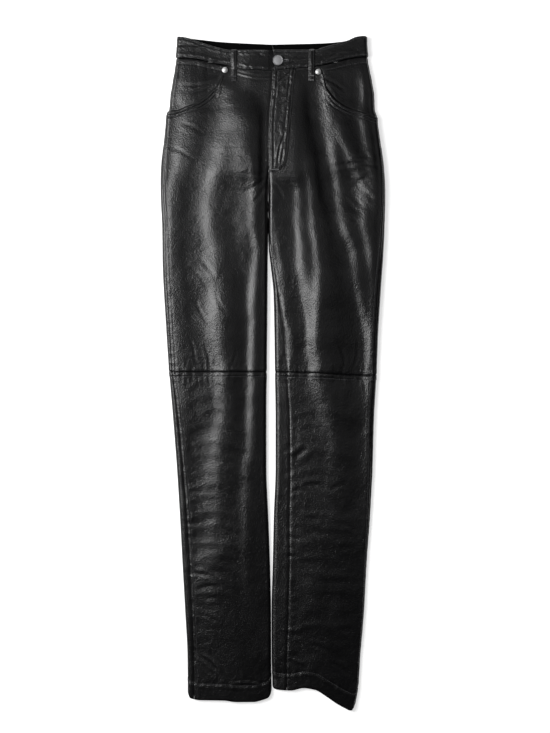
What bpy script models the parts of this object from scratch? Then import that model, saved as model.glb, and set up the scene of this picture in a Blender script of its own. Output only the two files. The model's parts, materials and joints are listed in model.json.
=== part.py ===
# Leather trousers laid flat on their back, waist button done up.
# Metres. +X is to the right as seen from above, +Y runs to the waist, +Z stands off the surface.
# Each half is a flattened tube: a front layer, a rolled side fold, a back layer that rests on the
# surface, and an inner fold that closes the tube below the crotch. Every piece of leather is a wall
# between two depths of that tube, so neighbours keep the same gap all along their seam.
import math

import bpy
import numpy as np

MM = 0.001

LEATHER = 0.0012             # one layer of nappa
SEAM_GAP = 0.0003            # between two pieces that meet at a seam
LAYER_GAP = 0.0004           # between two pieces that lie on each other
BAND_WALL = 0.0024           # waistband, doubled over its stay
BAND_PROUD = 0.0010          # how far the band stands off the panels
LOOP_WALL = 0.0013           # belt loop
LOOP_WIDTH = 0.0100
LOOP_LENGTH = 0.0530
LOOP_BULGE = 0.0006          # a loop's middle stands off the band
ZIP_WALL = 0.0015
INNER_FOLD = 0.0070          # half width of the roll beside the crotch and inseam
BUTTON_RADIUS = 0.0085
BUTTON_STEM = 0.0018
BUTTON_EYE = 0.0027          # round end of the buttonhole
BUTTONHOLE = 0.0160
BUTTONHOLE_SLIT = 0.0012
RIVET_RADIUS = 0.0048
BUTTON_X = 0.0082
BUTTON_Y = 0.5150
RIVETS = {"left": (-0.0790, 0.4990), "right": (0.0745, 0.4960)}

# The tube's share: 0 to 1 over the top, ARC round the outer fold, 1 back under it, ARC round the
# inner fold. A whole turn is LAP, and the crotch seams stand at the middle of the inner fold.
ARC = 0.35
LAP = 2 + 2 * ARC
CENTRE = -ARC / 2

SIDE = {"left": -1, "right": 1}

# One row for each section across the trousers, in millimetres, from the waist to the hem.
# under: height of the back layer off the surface. close: 0 above the crotch, 1 where the leg is a
# tube of its own. inseam and outseam: where the seams lie, in the tube's share.
SECTION_COLUMNS = ("y", "x_in", "x_out", "fold", "crown", "rise", "under", "close", "inseam", "outseam")
SECTIONS = {
    "left": (
        (557, -0.6, -157.0, 11.0, 2.0, 2.0, 2.7, 0.0, CENTRE, 1.175),
        (520, -0.6, -160.0, 11.5, 3.0, 3.0, 2.7, 0.0, CENTRE, 1.175),
        (490, -1.0, -164.5, 12.5, 4.0, 4.0, 2.7, 0.0, CENTRE, 1.175),
        (457, -3.1, -170.0, 14.0, 5.0, 5.0, 1.0, 0.0, CENTRE, 1.175),
        (437, -5.2, -171.5, 15.0, 6.0, 6.0, 0.0, 0.0, CENTRE, 1.170),
        (425, -6.0, -176.8, 15.5, 6.5, 6.5, 0.0, 0.0, CENTRE, 1.165),
        (398, -7.1, -178.6, 16.0, 7.5, 6.5, 0.0, 0.0, CENTRE, 1.140),
        (345, -6.8, -184.6, 17.0, 8.0, 5.5, 0.0, 0.0, CENTRE, 1.090),
        (330, -7.2, -185.4, 17.0, 8.0, 4.5, 0.0, 0.3, CENTRE, 1.080),
        (315, -7.7, -185.7, 17.0, 8.0, 3.0, 0.0, 0.7, CENTRE, 1.070),
        (300, -8.1, -185.6, 17.0, 8.5, 1.5, 0.0, 1.0, CENTRE, 1.065),
        (240, -8.1, -183.2, 16.0, 8.5, 0.0, 0.0, 1.0, -0.250, 1.035),
        (180, -8.5, -182.4, 15.0, 8.0, 0.0, 0.0, 1.0, -0.300, 1.015),
        (90, -9.0, -177.6, 14.0, 7.0, 0.0, 0.0, 1.0, -0.320, 1.005),
        (5, -10.0, -172.0, 12.5, 6.0, 0.0, 0.0, 1.0, -0.335, 1.000),
        (-60, -10.6, -166.4, 12.0, 5.5, 0.0, 0.0, 1.0, -0.335, 0.980),
        (-156, -10.6, -159.0, 11.0, 5.0, 0.0, 0.0, 1.0, -0.335, 0.960),
        (-235, -7.5, -154.0, 10.5, 4.5, 0.0, 0.0, 1.0, -0.335, 0.948),
        (-315, -5.7, -149.7, 10.0, 4.0, 0.0, 0.0, 1.0, -0.335, 0.943),
        (-394, -3.9, -145.3, 9.5, 4.0, 0.0, 0.0, 1.0, -0.335, 0.945),
        (-473, -3.2, -141.4, 9.0, 4.0, 0.0, 0.0, 1.0, -0.335, 0.950),
        (-557, -3.0, -141.0, 9.0, 3.5, 0.0, 0.0, 1.0, -0.335, 0.950),
    ),
    "right": (
        (557, -0.3, 154.5, 11.0, 2.0, 2.0, 2.7, 0.0, CENTRE, 1.175),
        (520, -0.3, 157.0, 11.5, 3.0, 3.0, 2.7, 0.0, CENTRE, 1.175),
        (490, -0.7, 162.5, 12.5, 4.0, 4.0, 2.7, 0.0, CENTRE, 1.175),
        (457, -2.8, 168.0, 14.0, 5.0, 5.0, 1.0, 0.0, CENTRE, 1.175),
        (437, -4.9, 168.6, 15.0, 6.0, 6.0, 0.0, 0.0, CENTRE, 1.175),
        (425, -5.7, 172.2, 15.5, 6.5, 6.5, 0.0, 0.0, CENTRE, 1.170),
        (398, -6.8, 175.6, 16.0, 7.5, 6.5, 0.0, 0.0, CENTRE, 1.160),
        (345, -6.5, 183.2, 17.0, 8.0, 5.5, 0.0, 0.0, CENTRE, 1.140),
        (330, -6.9, 184.4, 17.0, 8.0, 4.5, 0.0, 0.3, CENTRE, 1.135),
        (315, -7.4, 185.2, 17.0, 8.0, 3.0, 0.0, 0.7, CENTRE, 1.130),
        (300, -7.8, 185.7, 17.0, 8.5, 1.5, 0.0, 1.0, CENTRE, 1.120),
        (240, -7.8, 184.4, 16.0, 8.5, 0.0, 0.0, 1.0, -0.140, 1.090),
        (207, -7.0, 183.0, 15.5, 8.5, 0.0, 0.0, 1.0, -0.060, 1.070),
        (180, -4.0, 181.4, 15.0, 8.0, 0.0, 0.0, 1.0, -0.020, 1.050),
        (131, 0.9, 178.0, 14.5, 7.5, 0.0, 0.0, 1.0, 0.010, 1.030),
        (62, 2.4, 173.8, 13.5, 6.5, 0.0, 0.0, 1.0, 0.058, 1.030),
        (5, 3.1, 171.7, 12.5, 6.0, 0.0, 0.0, 1.0, 0.080, 1.030),
        (-77, 4.2, 167.1, 11.5, 5.5, 0.0, 0.0, 1.0, 0.110, 1.030),
        (-156, 4.2, 164.8, 11.0, 5.0, 0.0, 0.0, 1.0, 0.118, 1.060),
        (-235, 1.4, 160.6, 10.5, 4.5, 0.0, 0.0, 1.0, 0.130, 1.090),
        (-315, -0.3, 154.9, 10.0, 4.0, 0.0, 0.0, 1.0, 0.146, 1.110),
        (-394, -2.4, 150.7, 9.5, 4.0, 0.0, 0.0, 1.0, 0.150, 1.120),
        (-473, -2.2, 144.1, 9.0, 4.0, 0.0, 0.0, 1.0, 0.134, 1.120),
        (-513, -1.0, 141.7, 9.0, 3.5, 0.0, 0.0, 1.0, 0.130, 1.120),
        (-557, -0.6, 134.8, 9.0, 3.5, 0.0, 0.0, 1.0, 0.130, 1.120),
    ),
}

# The largest lengthwise folds of the front layer, in millimetres: the line of each through its
# top, middle and low point, its half width and its height (below zero is a trough).
FOLD_COLUMNS = ("x_top", "y_top", "x_mid", "y_mid", "x_low", "y_low", "width", "height")
FOLDS = {
    "left": (
        (-128, 400, -131, 335, -139, 250, 15, -3.0),
        (-92, 430, -106, 270, -98, 40, 24, 3.0),
        (-42, 320, -36, 200, -42, 50, 14, -2.0),
        (-98, -20, -94, -120, -99, -240, 24, 1.8),
    ),
    "right": (
        (52, 390, 64, 250, 68, 50, 14, 3.0),
        (70, 400, 89, 270, 112, 90, 12, -2.5),
        (82, 405, 112, 254, 150, 50, 16, 2.5),
        (46, -60, 47, -132, 50, -200, 22, -2.0),
        (88, -10, 97, -90, 95, -200, 24, 1.8),
    ),
}

# Lines across the trousers, in millimetres: the tube's share and the height y of the line there.
WAIST_SEAM = {
    "left": ((0.0, 498.5), (0.20, 500), (0.45, 507), (0.59, 511), (0.82, 518), (1.0, 520), (1.175, 521),
             (1.35, 520), (1.80, 513), (2.35, 508)),
    "right": ((0.0, 499), (0.19, 502), (0.38, 503), (0.45, 506), (0.62, 511), (0.81, 518), (1.0, 522),
              (1.175, 522), (1.35, 520), (1.80, 513), (2.35, 508)),
}
BAND_TOP = {
    "left": ((0.0, 532.5), (0.43, 533), (0.62, 539), (0.78, 546), (0.95, 554), (1.0, 555), (1.175, 556),
             (1.35, 555), (1.56, 552), (1.82, 548), (2.35, 544)),
    "right": ((0.0, 533), (0.43, 533), (0.53, 537), (0.68, 543), (0.82, 549), (0.92, 555), (1.0, 556.5),
              (1.175, 556), (1.35, 556), (1.47, 552), (1.64, 548), (1.82, 546), (2.35, 544)),
}
FRONT_TOP = {
    "left": ((0.0, 498.5), (0.20, 500), (0.45, 507), (0.49, 503), (0.53, 479), (0.60, 466), (0.67, 455),
             (0.76, 446), (0.86, 440), (0.97, 434), (1.2, 433)),
    "right": ((0.0, 499), (0.19, 502), (0.38, 503), (0.46, 505), (0.50, 500), (0.53, 475), (0.59, 460),
              (0.65, 450), (0.74, 441), (0.83, 435), (0.92, 430), (1.01, 425), (1.2, 423)),
}
KNEE = {
    "left": ((-0.175, 2), (1.0, 2), (1.35, 5), (2.35, 5), (2.525, 2)),
    "right": ((-0.175, 2), (0.4, 0), (0.75, -3.5), (1.0, -4), (1.35, 1), (2.35, 4), (2.525, 2)),
}
HEM = {
    "left": ((-0.175, -523), (-0.05, -534), (0.10, -541), (0.18, -543), (0.41, -543), (0.57, -540.5),
             (0.88, -540), (1.0, -537), (1.175, -529), (1.35, -533), (1.85, -538), (2.35, -532)),
    "right": ((-0.175, -518), (0.03, -523), (0.18, -524), (0.34, -520), (0.49, -523), (0.64, -534),
              (0.79, -546), (0.90, -553), (0.985, -557.2), (1.175, -546), (1.35, -548), (1.85, -538),
              (2.35, -524)),
}
FLY_EDGE = ((497, 36), (466, 33), (432, 30), (398, 26.5), (365, 24), (345, 20), (337, 12), (333, 4))

# Heights shared by the panels on both sides of a seam, in millimetres.
HIP_LEVELS = (437, 425)      # the back only; the front starts at the pocket mouth
THIGH_LEVELS = (415, 390, 365, 345, 330, 315, 300, 275, 240, 200, 150, 100, 50)
SHIN_LEVELS = (-50, -110, -170, -235, -300, -365, -430, -490)
EDGE_ROWS = 3                # rows between the top edge and the first level
FRONT_COLUMNS = (4, 9, 3)    # on the inner fold, over the top, on the outer fold
BACK_COLUMNS = (4, 3, 5)     # on the outer fold, underneath, on the inner fold
LEAST_STRETCH = 0.03         # share of the narrowest stretch of columns

BLACK = (0.012, 0.012, 0.013)
TAPE = (0.018, 0.018, 0.020)
SILVER = (0.50, 0.50, 0.51)


def table(rows, columns):
    # The rows of a table as one array for each named column, lowest y first.
    values = np.array(rows, dtype=float)[::-1]
    return {name: values[:, index] for index, name in enumerate(columns)}


def section(half, y):
    # The section's measures at each height y, in metres, with the three shares as they are.
    columns = table(SECTIONS[half], SECTION_COLUMNS)
    measures = {}
    for name in SECTION_COLUMNS[1:]:
        scale = 1.0 if name in ("close", "inseam", "outseam") else MM
        measures[name] = np.interp(y / MM, columns["y"], columns[name]) * scale
    return measures


def folds(half, x, y):
    # Height of the lengthwise folds at x, y: a soft ridge or trough on a line through three points,
    # fading out at both ends.
    height = np.zeros_like(x)
    for row in FOLDS[half]:
        fold = dict(zip(FOLD_COLUMNS, row))
        heights = (fold["y_low"], fold["y_mid"], fold["y_top"])
        middle = np.interp(y / MM, heights, (fold["x_low"], fold["x_mid"], fold["x_top"]))
        along = np.interp(y / MM, heights, (-1.0, 0.0, 1.0))
        across = (x / MM - middle) / fold["width"]
        height = height + fold["height"] * MM * np.exp(-across ** 2) * np.cos(along * math.pi / 2)
    return height


def tube(half, y, share, depth=0.0):
    # Points of a half at height y and share, at a depth below its outer face, as an array.
    side = SIDE[half]
    s = section(half, y)
    share = np.where(share < CENTRE - 1e-9, share + LAP, share)
    share = np.where(share > CENTRE + LAP + 1e-9, share - LAP, share)
    radius = s["fold"] / 2
    inner = s["x_in"] + side * INNER_FOLD
    outer = s["x_out"] - side * radius

    across = np.clip(share, 0, 1)
    top_x = inner + (outer - inner) * across
    fade = np.sin(across * math.pi)
    rise = s["rise"] * (1 - across) ** 2 * (1 + 2 * across)
    top_z = s["fold"] + s["crown"] * fade + rise + folds(half, top_x, y) * np.sqrt(fade) - depth

    turn = np.clip((share - 1) / ARC, 0, 1) * math.pi
    side_x = outer + side * (radius - depth) * np.sin(turn)
    side_z = radius + (radius - depth) * np.cos(turn)

    back = np.clip(2 + ARC - share, 0, 1)
    back_x = inner + (outer - inner) * back
    back_z = depth + np.zeros_like(share)

    # The inner fold: its end stands at the centre plane, and above the crotch it does not turn down.
    height = s["fold"] + s["rise"]
    reach = INNER_FOLD - depth * s["close"]
    front_turn = np.clip(-share / ARC, 0, 0.5) * math.pi
    front_end = height * (1 - s["close"] / 2) - depth * (1 - s["close"])
    front_x = inner - side * reach * np.sin(front_turn)
    front_z = front_end + (height - depth - front_end) * np.cos(front_turn)
    back_turn = np.clip((share - 2 - ARC) / ARC, 0, 0.5) * math.pi
    back_end = height * s["close"] / 2 + depth * (1 - s["close"])
    lower_x = inner - side * reach * np.sin(back_turn)
    lower_z = back_end + (depth - back_end) * np.cos(back_turn)

    zones = [share < 0, share <= 1, share <= 1 + ARC, share <= 2 + ARC]
    x = np.select(zones, [front_x, top_x, side_x, back_x], lower_x)
    z = np.select(zones, [front_z, top_z, side_z, back_z], lower_z)
    return np.stack([x, y + np.zeros_like(x), z + s["under"]], axis=-1)


def share_at(half, y, x):
    # The share of the top layer's point at x, on the flat or on the inner fold.
    side = SIDE[half]
    s = section(half, y)
    inner = s["x_in"] + side * INNER_FOLD
    outer = s["x_out"] - side * s["fold"] / 2
    flat = (x - inner) / (outer - inner)
    on_fold = np.clip((inner - x) * side / INNER_FOLD, 0, 1)
    return np.where(flat >= 0, flat, -np.arcsin(on_fold) / math.pi * ARC)


def line(rows, share, period=None):
    # Height y of a line across the trousers, in metres.
    points = np.array(rows, dtype=float)
    return np.interp(share, points[:, 0], points[:, 1], period=period) * MM


def seam_shift(half, y, share, towards):
    # Half a seam gap as a share, on the side that the piece lies. Above the crotch the piece ends
    # at the centre plane, where its section keeps the gap already.
    step = 0.004 * towards
    move = tube(half, y, share + step) - tube(half, y, share)
    length = np.maximum(np.hypot(move[..., 0], move[..., 2]), 1e-6)
    return step * SEAM_GAP / 2 / length


def front_stops(half, y):
    # Shares of the front's inseam, the ends of its flat top and its outseam.
    s = section(half, y)
    first = s["inseam"] + seam_shift(half, y, s["inseam"], 1) * s["close"]
    last = s["outseam"] + seam_shift(half, y, s["outseam"], -1)
    return first, np.maximum(first + LEAST_STRETCH, 0), np.minimum(last - LEAST_STRETCH, 1), last


def back_stops(half, y):
    # Shares of the back's outseam, the ends of its flat underside and its inseam.
    s = section(half, y)
    first = s["outseam"] + seam_shift(half, y, s["outseam"], 1)
    last = s["inseam"] + LAP + seam_shift(half, y, s["inseam"] + LAP, -1) * s["close"]
    return first, 1 + ARC + 0 * first, np.minimum(last - LEAST_STRETCH, 2 + ARC), last


def spread(stops, half, top, bottom, levels, columns):
    # The height and share of each point of a panel: rows run from its top line by fixed levels to
    # its bottom line, and columns from stop to stop across it.
    stretch = np.repeat(np.arange(len(columns)), columns)
    part = np.concatenate([np.arange(count) / count for count in columns])
    stretch = np.append(stretch, len(columns) - 1)
    part = np.append(part, 1.0)
    levels = np.array(levels) * MM
    y = np.full((EDGE_ROWS + len(levels) + 1, len(part)), levels[0])
    for _ in range(5):
        edges = np.array([stop + np.zeros_like(y) for stop in stops(half, y)])
        every = np.arange(len(part))
        share = edges[stretch, :, every].T * (1 - part) + edges[stretch + 1, :, every].T * part
        edge = top(share)
        rows = [edge[row] + (levels[0] - edge[row]) * row / EDGE_ROWS for row in range(EDGE_ROWS)]
        rows += [np.full(len(part), level) for level in levels]
        y = np.array(rows + [bottom(share[-1])])
    return y, share


def wall(outer, inner):
    # Vertices and faces of the closed wall between two grids of points.
    rows, columns = outer.shape[:2]
    points = np.concatenate([outer.reshape(-1, 3), inner.reshape(-1, 3)])
    number = np.arange(rows * columns).reshape(rows, columns)
    below = number + rows * columns
    quads = [np.stack([number[:-1, :-1], number[1:, :-1], number[1:, 1:], number[:-1, 1:]], -1),
             np.stack([below[:-1, :-1], below[:-1, 1:], below[1:, 1:], below[1:, :-1]], -1)]
    rims = [(number[0, :], below[0, :]), (number[:, -1], below[:, -1]),
            (number[-1, ::-1], below[-1, ::-1]), (number[::-1, 0], below[::-1, 0])]
    for edge, under in rims:
        quads.append(np.stack([edge[:-1], edge[1:], under[1:], under[:-1]], -1))
    faces = np.concatenate([quad.reshape(-1, 4) for quad in quads])
    return points, faces


def new_material(name, colour, roughness, metallic):
    material = bpy.data.materials.new(name)
    material.use_nodes = True
    shader = material.node_tree.nodes["Principled BSDF"]
    shader.inputs["Base Color"].default_value = (*colour, 1.0)
    shader.inputs["Roughness"].default_value = roughness
    shader.inputs["Metallic"].default_value = metallic
    return material


def add_object(name, mesh, material, collection):
    mesh.materials.append(material)
    piece = bpy.data.objects.new(name, mesh)
    collection.objects.link(piece)
    return piece


def add_cloth(name, outer, inner, collection, colour=BLACK):
    points, faces = wall(outer, inner)
    mesh = bpy.data.meshes.new(name)
    mesh.from_pydata(points.tolist(), [], faces.tolist())
    mesh.update()
    centre = outer.reshape(-1, 3).mean(axis=0)
    if signed_volume(points - centre, faces) < 0:
        mesh.flip_normals()
    return add_object(name, mesh, new_material(name, colour, 0.34, 0.0), collection)


def signed_volume(points, faces):
    # Six times the volume of a closed mesh of quads, above zero where its faces point outwards.
    a, b, c, d = (points[faces[:, corner]] for corner in range(4))
    halves = np.einsum("ij,ij->", a, np.cross(b, c)) + np.einsum("ij,ij->", a, np.cross(c, d))
    return halves


def add_front(half, collection):
    def thigh_top(share):
        return line(FRONT_TOP[half], share) - SEAM_GAP / 2

    def thigh_bottom(share):
        return line(KNEE[half], share, LAP) + SEAM_GAP / 2

    def shin_top(share):
        return line(KNEE[half], share, LAP) - SEAM_GAP / 2

    def shin_bottom(share):
        return line(HEM[half], share, LAP)

    for name, top, bottom, levels in (("front_thigh", thigh_top, thigh_bottom, THIGH_LEVELS),
                                      ("front_shin", shin_top, shin_bottom, SHIN_LEVELS)):
        y, share = spread(front_stops, half, top, bottom, levels, FRONT_COLUMNS)
        add_cloth(f"{name}_{half}", tube(half, y, share), tube(half, y, share, LEATHER), collection)


def add_back(half, collection):
    def thigh_top(share):
        return line(WAIST_SEAM[half], share) - SEAM_GAP / 2

    def thigh_bottom(share):
        return line(KNEE[half], share, LAP) + SEAM_GAP / 2

    def shin_top(share):
        return line(KNEE[half], share, LAP) - SEAM_GAP / 2

    def shin_bottom(share):
        return line(HEM[half], share, LAP)

    for name, top, bottom, levels in (("back_thigh", thigh_top, thigh_bottom, HIP_LEVELS + THIGH_LEVELS),
                                      ("back_shin", shin_top, shin_bottom, SHIN_LEVELS)):
        y, share = spread(back_stops, half, top, bottom, levels, BACK_COLUMNS)
        add_cloth(f"{name}_{half}", tube(half, y, share), tube(half, y, share, LEATHER), collection)


def add_pocket_facing(half, collection):
    # The facing lies one layer below the front and shows above the pocket mouth.
    outer_depth = LEATHER + LAYER_GAP
    share = np.linspace(0.43, 1.16, 13)
    waist = line(WAIST_SEAM[half], share) - SEAM_GAP
    mouth = line(FRONT_TOP[half], share) - SEAM_GAP / 2
    shown = [waist + (mouth - waist) * row / 4 for row in range(4)]
    hidden = [mouth + (THIGH_LEVELS[0] * MM - mouth) * row / EDGE_ROWS for row in range(2)]
    y = np.array(shown + hidden)
    share = share + np.zeros_like(y)
    add_cloth(f"pocket_facing_{half}", tube(half, y, share, outer_depth),
              tube(half, y, share, outer_depth + LEATHER), collection)


def add_waistband(half, collection):
    # The right end laps over the left one, which runs on under it to carry the button.
    round_half = np.concatenate([np.linspace(0.0, 1.0, 13), 1 + ARC * np.linspace(0.17, 1, 6),
                                 1 + ARC + np.linspace(0.17, 1, 6), [CENTRE + LAP]])
    down = np.linspace(0, 1, 4)[:, None]

    def strip(on_half, share, extra):
        top = line(BAND_TOP[on_half], share)[None, :]
        bottom = line(WAIST_SEAM[on_half], share)[None, :] + SEAM_GAP
        y = top + (bottom - top) * down
        share = share[None, :] + np.zeros_like(y)
        return [tube(on_half, y, share, depth + extra) for depth in (-BAND_PROUD, BAND_WALL - BAND_PROUD)]

    if half == "right":
        lap_end = -0.12
        outer, inner = strip("right", np.concatenate([[lap_end, -0.06], round_half]), 0.0)
    else:
        under = strip("right", np.array([0.19, 0.10, 0.0, -0.12]), BAND_WALL + LAYER_GAP)
        shown = strip("left", round_half, 0.0)
        outer, inner = (np.concatenate(pair, axis=1) for pair in zip(under, shown))
    return add_cloth(f"waistband_{half}", outer, inner, collection)


def add_fly(collection):
    # The facing is J-shaped, under the right front; the zip tape lies under it and the left edge.
    heights = np.array([row[0] for row in FLY_EDGE]) * MM
    widths = np.array([row[1] for row in FLY_EDGE]) * MM
    edge = share_at("right", heights, widths)[:, None]
    share = CENTRE + (edge - CENTRE) * np.linspace(0, 1, 6)
    y = heights[:, None] + np.zeros_like(share)
    outer_depth = LEATHER + LAYER_GAP
    add_cloth("fly_facing", tube("right", y, share, outer_depth),
              tube("right", y, share, outer_depth + LEATHER), collection)

    tape_y = np.linspace(0.497, 0.350, 8)[:, None]
    tape_depth = outer_depth + LEATHER + LAYER_GAP
    grids = []
    for depth in (tape_depth, tape_depth + ZIP_WALL):
        on_left = tube("left", tape_y + np.zeros((1, 2)), np.zeros((8, 2)) + (0.0, -0.1), depth)
        on_right = tube("right", tape_y + np.zeros((1, 3)), np.zeros((8, 3)) + (-0.1, 0.0, 0.03), depth)
        grids.append(np.concatenate([on_left, on_right], axis=1))
    add_cloth("fly_zip", grids[0], grids[1], collection, TAPE)


def add_belt_loop(name, half, top, centre_x, behind, collection):
    # A strip over the band and on to the panel below it, made from their points moved out.
    down = np.linspace(0, 1, 9)[:, None]
    y = top - LOOP_LENGTH * down
    x = centre_x + LOOP_WIDTH * np.array([-0.5, 0.0, 0.5])[None, :]
    s = section(half, y)
    share = share_at(half, y, x)
    if behind:
        inner = s["x_in"] + SIDE[half] * INNER_FOLD
        outer = s["x_out"] - SIDE[half] * s["fold"] / 2
        share = 2 + ARC - (x - inner) / (outer - inner)
    seam = line(WAIST_SEAM[half], share)
    on_band = np.clip((y - seam) / 0.004 + 1, 0, 1)
    bulge = 0.0 if behind else LOOP_BULGE * np.sin(np.clip((y - seam) / (top - seam), 0, 1) * math.pi)
    lift = LAYER_GAP + BAND_PROUD * on_band + bulge
    add_cloth(name, tube(half, y, share, -lift - LOOP_WALL), tube(half, y, share, -lift), collection)


def add_turned(name, profile, place, colour, collection, segments=28):
    # A turned piece: a profile of radius and height, from the top down its outer side.
    mesh = bpy.data.meshes.new(name)
    points = [(radius, 0.0, height) for radius, height in profile]
    mesh.from_pydata(points, [(index, index + 1) for index in range(len(points) - 1)], [])
    piece = add_object(name, mesh, new_material(name, colour, 0.38, 1.0), collection)
    piece.location = place
    screw = piece.modifiers.new("Turn", "SCREW")
    screw.steps = segments
    screw.render_steps = segments
    screw.use_merge_vertices = True
    screw.merge_threshold = 0.00001
    return piece


def surface_height(half, x, y, depth=0.0):
    share = share_at(half, np.array(y), np.array(x))
    return float(tube(half, np.array(y), share, depth)[2])


def add_button(collection):
    # The stem comes up from the band's under end, through the buttonhole.
    seat = surface_height("right", BUTTON_X, BUTTON_Y, BAND_WALL + LAYER_GAP - BAND_PROUD) + SEAM_GAP
    head = surface_height("right", BUTTON_X, BUTTON_Y, -BAND_PROUD) + 0.0012 - seat
    radius = BUTTON_RADIUS
    profile = ((0.0, head + 0.0026), (radius * 0.55, head + 0.0024), (radius * 0.74, head + 0.0019),
               (radius * 0.80, head + 0.0023), (radius * 0.93, head + 0.0022), (radius, head + 0.0014),
               (radius * 0.97, head + 0.0003), (radius * 0.85, head), (BUTTON_STEM, head),
               (BUTTON_STEM, 0.0004), (BUTTON_STEM + 0.0008, 0.0), (0.0, 0.0))
    return add_turned("button", profile, (BUTTON_X, BUTTON_Y, seat), SILVER, collection)


def add_rivet(half, collection):
    x, y = RIVETS[half]
    seat = surface_height(half, x, y) + SEAM_GAP
    radius = RIVET_RADIUS
    profile = ((0.0, 0.0021), (radius * 0.35, 0.0020), (radius * 0.62, 0.0015), (radius * 0.72, 0.0011),
               (radius * 0.86, 0.0011), (radius, 0.0006), (radius, 0.0), (0.0, 0.0))
    return add_turned(f"rivet_{half}", profile, (x, y, seat), SILVER, collection, 24)


def add_cutter(name, mesh_maker, collection):
    mesh_maker()
    cutter = bpy.context.object
    cutter.name = name
    for owner in list(cutter.users_collection):
        owner.objects.unlink(cutter)
    collection.objects.link(cutter)
    cutter.hide_render = True
    cutter.display_type = "WIRE"
    return cutter


def cut_buttonhole(band, cutters):
    # A round eye for the stem and a slit to its right, through the upper end of the band.
    height = surface_height("right", BUTTON_X, BUTTON_Y)

    def eye():
        bpy.ops.mesh.primitive_cylinder_add(vertices=16, radius=BUTTON_EYE, depth=2.6 * BAND_WALL,
                                            location=(BUTTON_X, BUTTON_Y, height))

    def slit():
        middle = BUTTON_X + BUTTONHOLE / 2
        bpy.ops.mesh.primitive_cube_add(size=1, location=(middle, BUTTON_Y, height))
        bpy.context.object.scale = (BUTTONHOLE, BUTTONHOLE_SLIT, 2.6 * BAND_WALL)
        bpy.ops.object.transform_apply(location=False, rotation=False, scale=True)

    for name, maker in (("buttonhole_eye", eye), ("buttonhole_slit", slit)):
        cut = band.modifiers.new(name, "BOOLEAN")
        cut.operation = "DIFFERENCE"
        cut.solver = "EXACT"
        cut.object = add_cutter(name, maker, cutters)


def main():
    for stale in list(bpy.data.objects):
        bpy.data.objects.remove(stale, do_unlink=True)
    trousers = bpy.data.collections.new("leather_trousers")
    cutters = bpy.data.collections.new("cutters")
    bpy.context.scene.collection.children.link(trousers)
    bpy.context.scene.collection.children.link(cutters)

    for half in SIDE:
        add_front(half, trousers)
        add_back(half, trousers)
        add_pocket_facing(half, trousers)
        add_rivet(half, trousers)
    add_waistband("left", trousers)
    cut_buttonhole(add_waistband("right", trousers), cutters)
    add_fly(trousers)
    add_button(trousers)
    for name, half, top, centre_x, behind in (
            ("belt_loop_front_left", "left", 0.534, -0.0643, False),
            ("belt_loop_front_right", "right", 0.534, 0.0638, False),
            ("belt_loop_back_left", "left", 0.546, -0.0850, True),
            ("belt_loop_back_right", "right", 0.546, 0.0850, True),
            ("belt_loop_back_centre", "left", 0.5435, -0.0095, True)):
        add_belt_loop(name, half, top, centre_x, behind, trousers)


main()
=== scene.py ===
import json
import math
import bpy
import numpy as np
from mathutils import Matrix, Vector

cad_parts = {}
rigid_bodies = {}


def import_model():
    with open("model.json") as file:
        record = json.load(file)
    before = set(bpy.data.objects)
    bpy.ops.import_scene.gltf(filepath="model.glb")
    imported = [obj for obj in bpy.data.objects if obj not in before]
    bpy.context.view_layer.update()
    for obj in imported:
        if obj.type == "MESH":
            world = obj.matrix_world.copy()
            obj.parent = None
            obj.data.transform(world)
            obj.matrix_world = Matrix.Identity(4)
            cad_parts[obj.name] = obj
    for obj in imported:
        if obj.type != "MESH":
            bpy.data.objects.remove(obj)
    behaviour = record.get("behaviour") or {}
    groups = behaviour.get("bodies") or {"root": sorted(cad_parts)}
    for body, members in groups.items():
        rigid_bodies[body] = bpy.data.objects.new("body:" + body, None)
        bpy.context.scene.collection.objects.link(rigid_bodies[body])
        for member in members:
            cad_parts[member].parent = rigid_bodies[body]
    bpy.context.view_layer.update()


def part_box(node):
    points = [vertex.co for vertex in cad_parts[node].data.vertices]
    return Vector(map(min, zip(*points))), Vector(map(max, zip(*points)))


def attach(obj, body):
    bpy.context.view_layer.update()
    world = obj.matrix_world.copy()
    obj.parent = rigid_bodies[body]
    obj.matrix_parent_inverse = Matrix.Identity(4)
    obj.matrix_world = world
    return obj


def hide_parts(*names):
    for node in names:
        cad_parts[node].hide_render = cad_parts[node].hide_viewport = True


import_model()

mm = 0.001
leather = 1.2 * mm          # one layer of nappa
seamGap = 0.3 * mm
layerGap = 0.4 * mm
bandWall = 2.4 * mm
bandProud = 1.0 * mm
loopWall = 1.3 * mm
innerFold = 7 * mm
arc = 0.35                  # share of the tube that a side fold takes
lap = 2 + 2 * arc
centre = -arc / 2
sideOf = {"left": -1, "right": 1}

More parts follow.
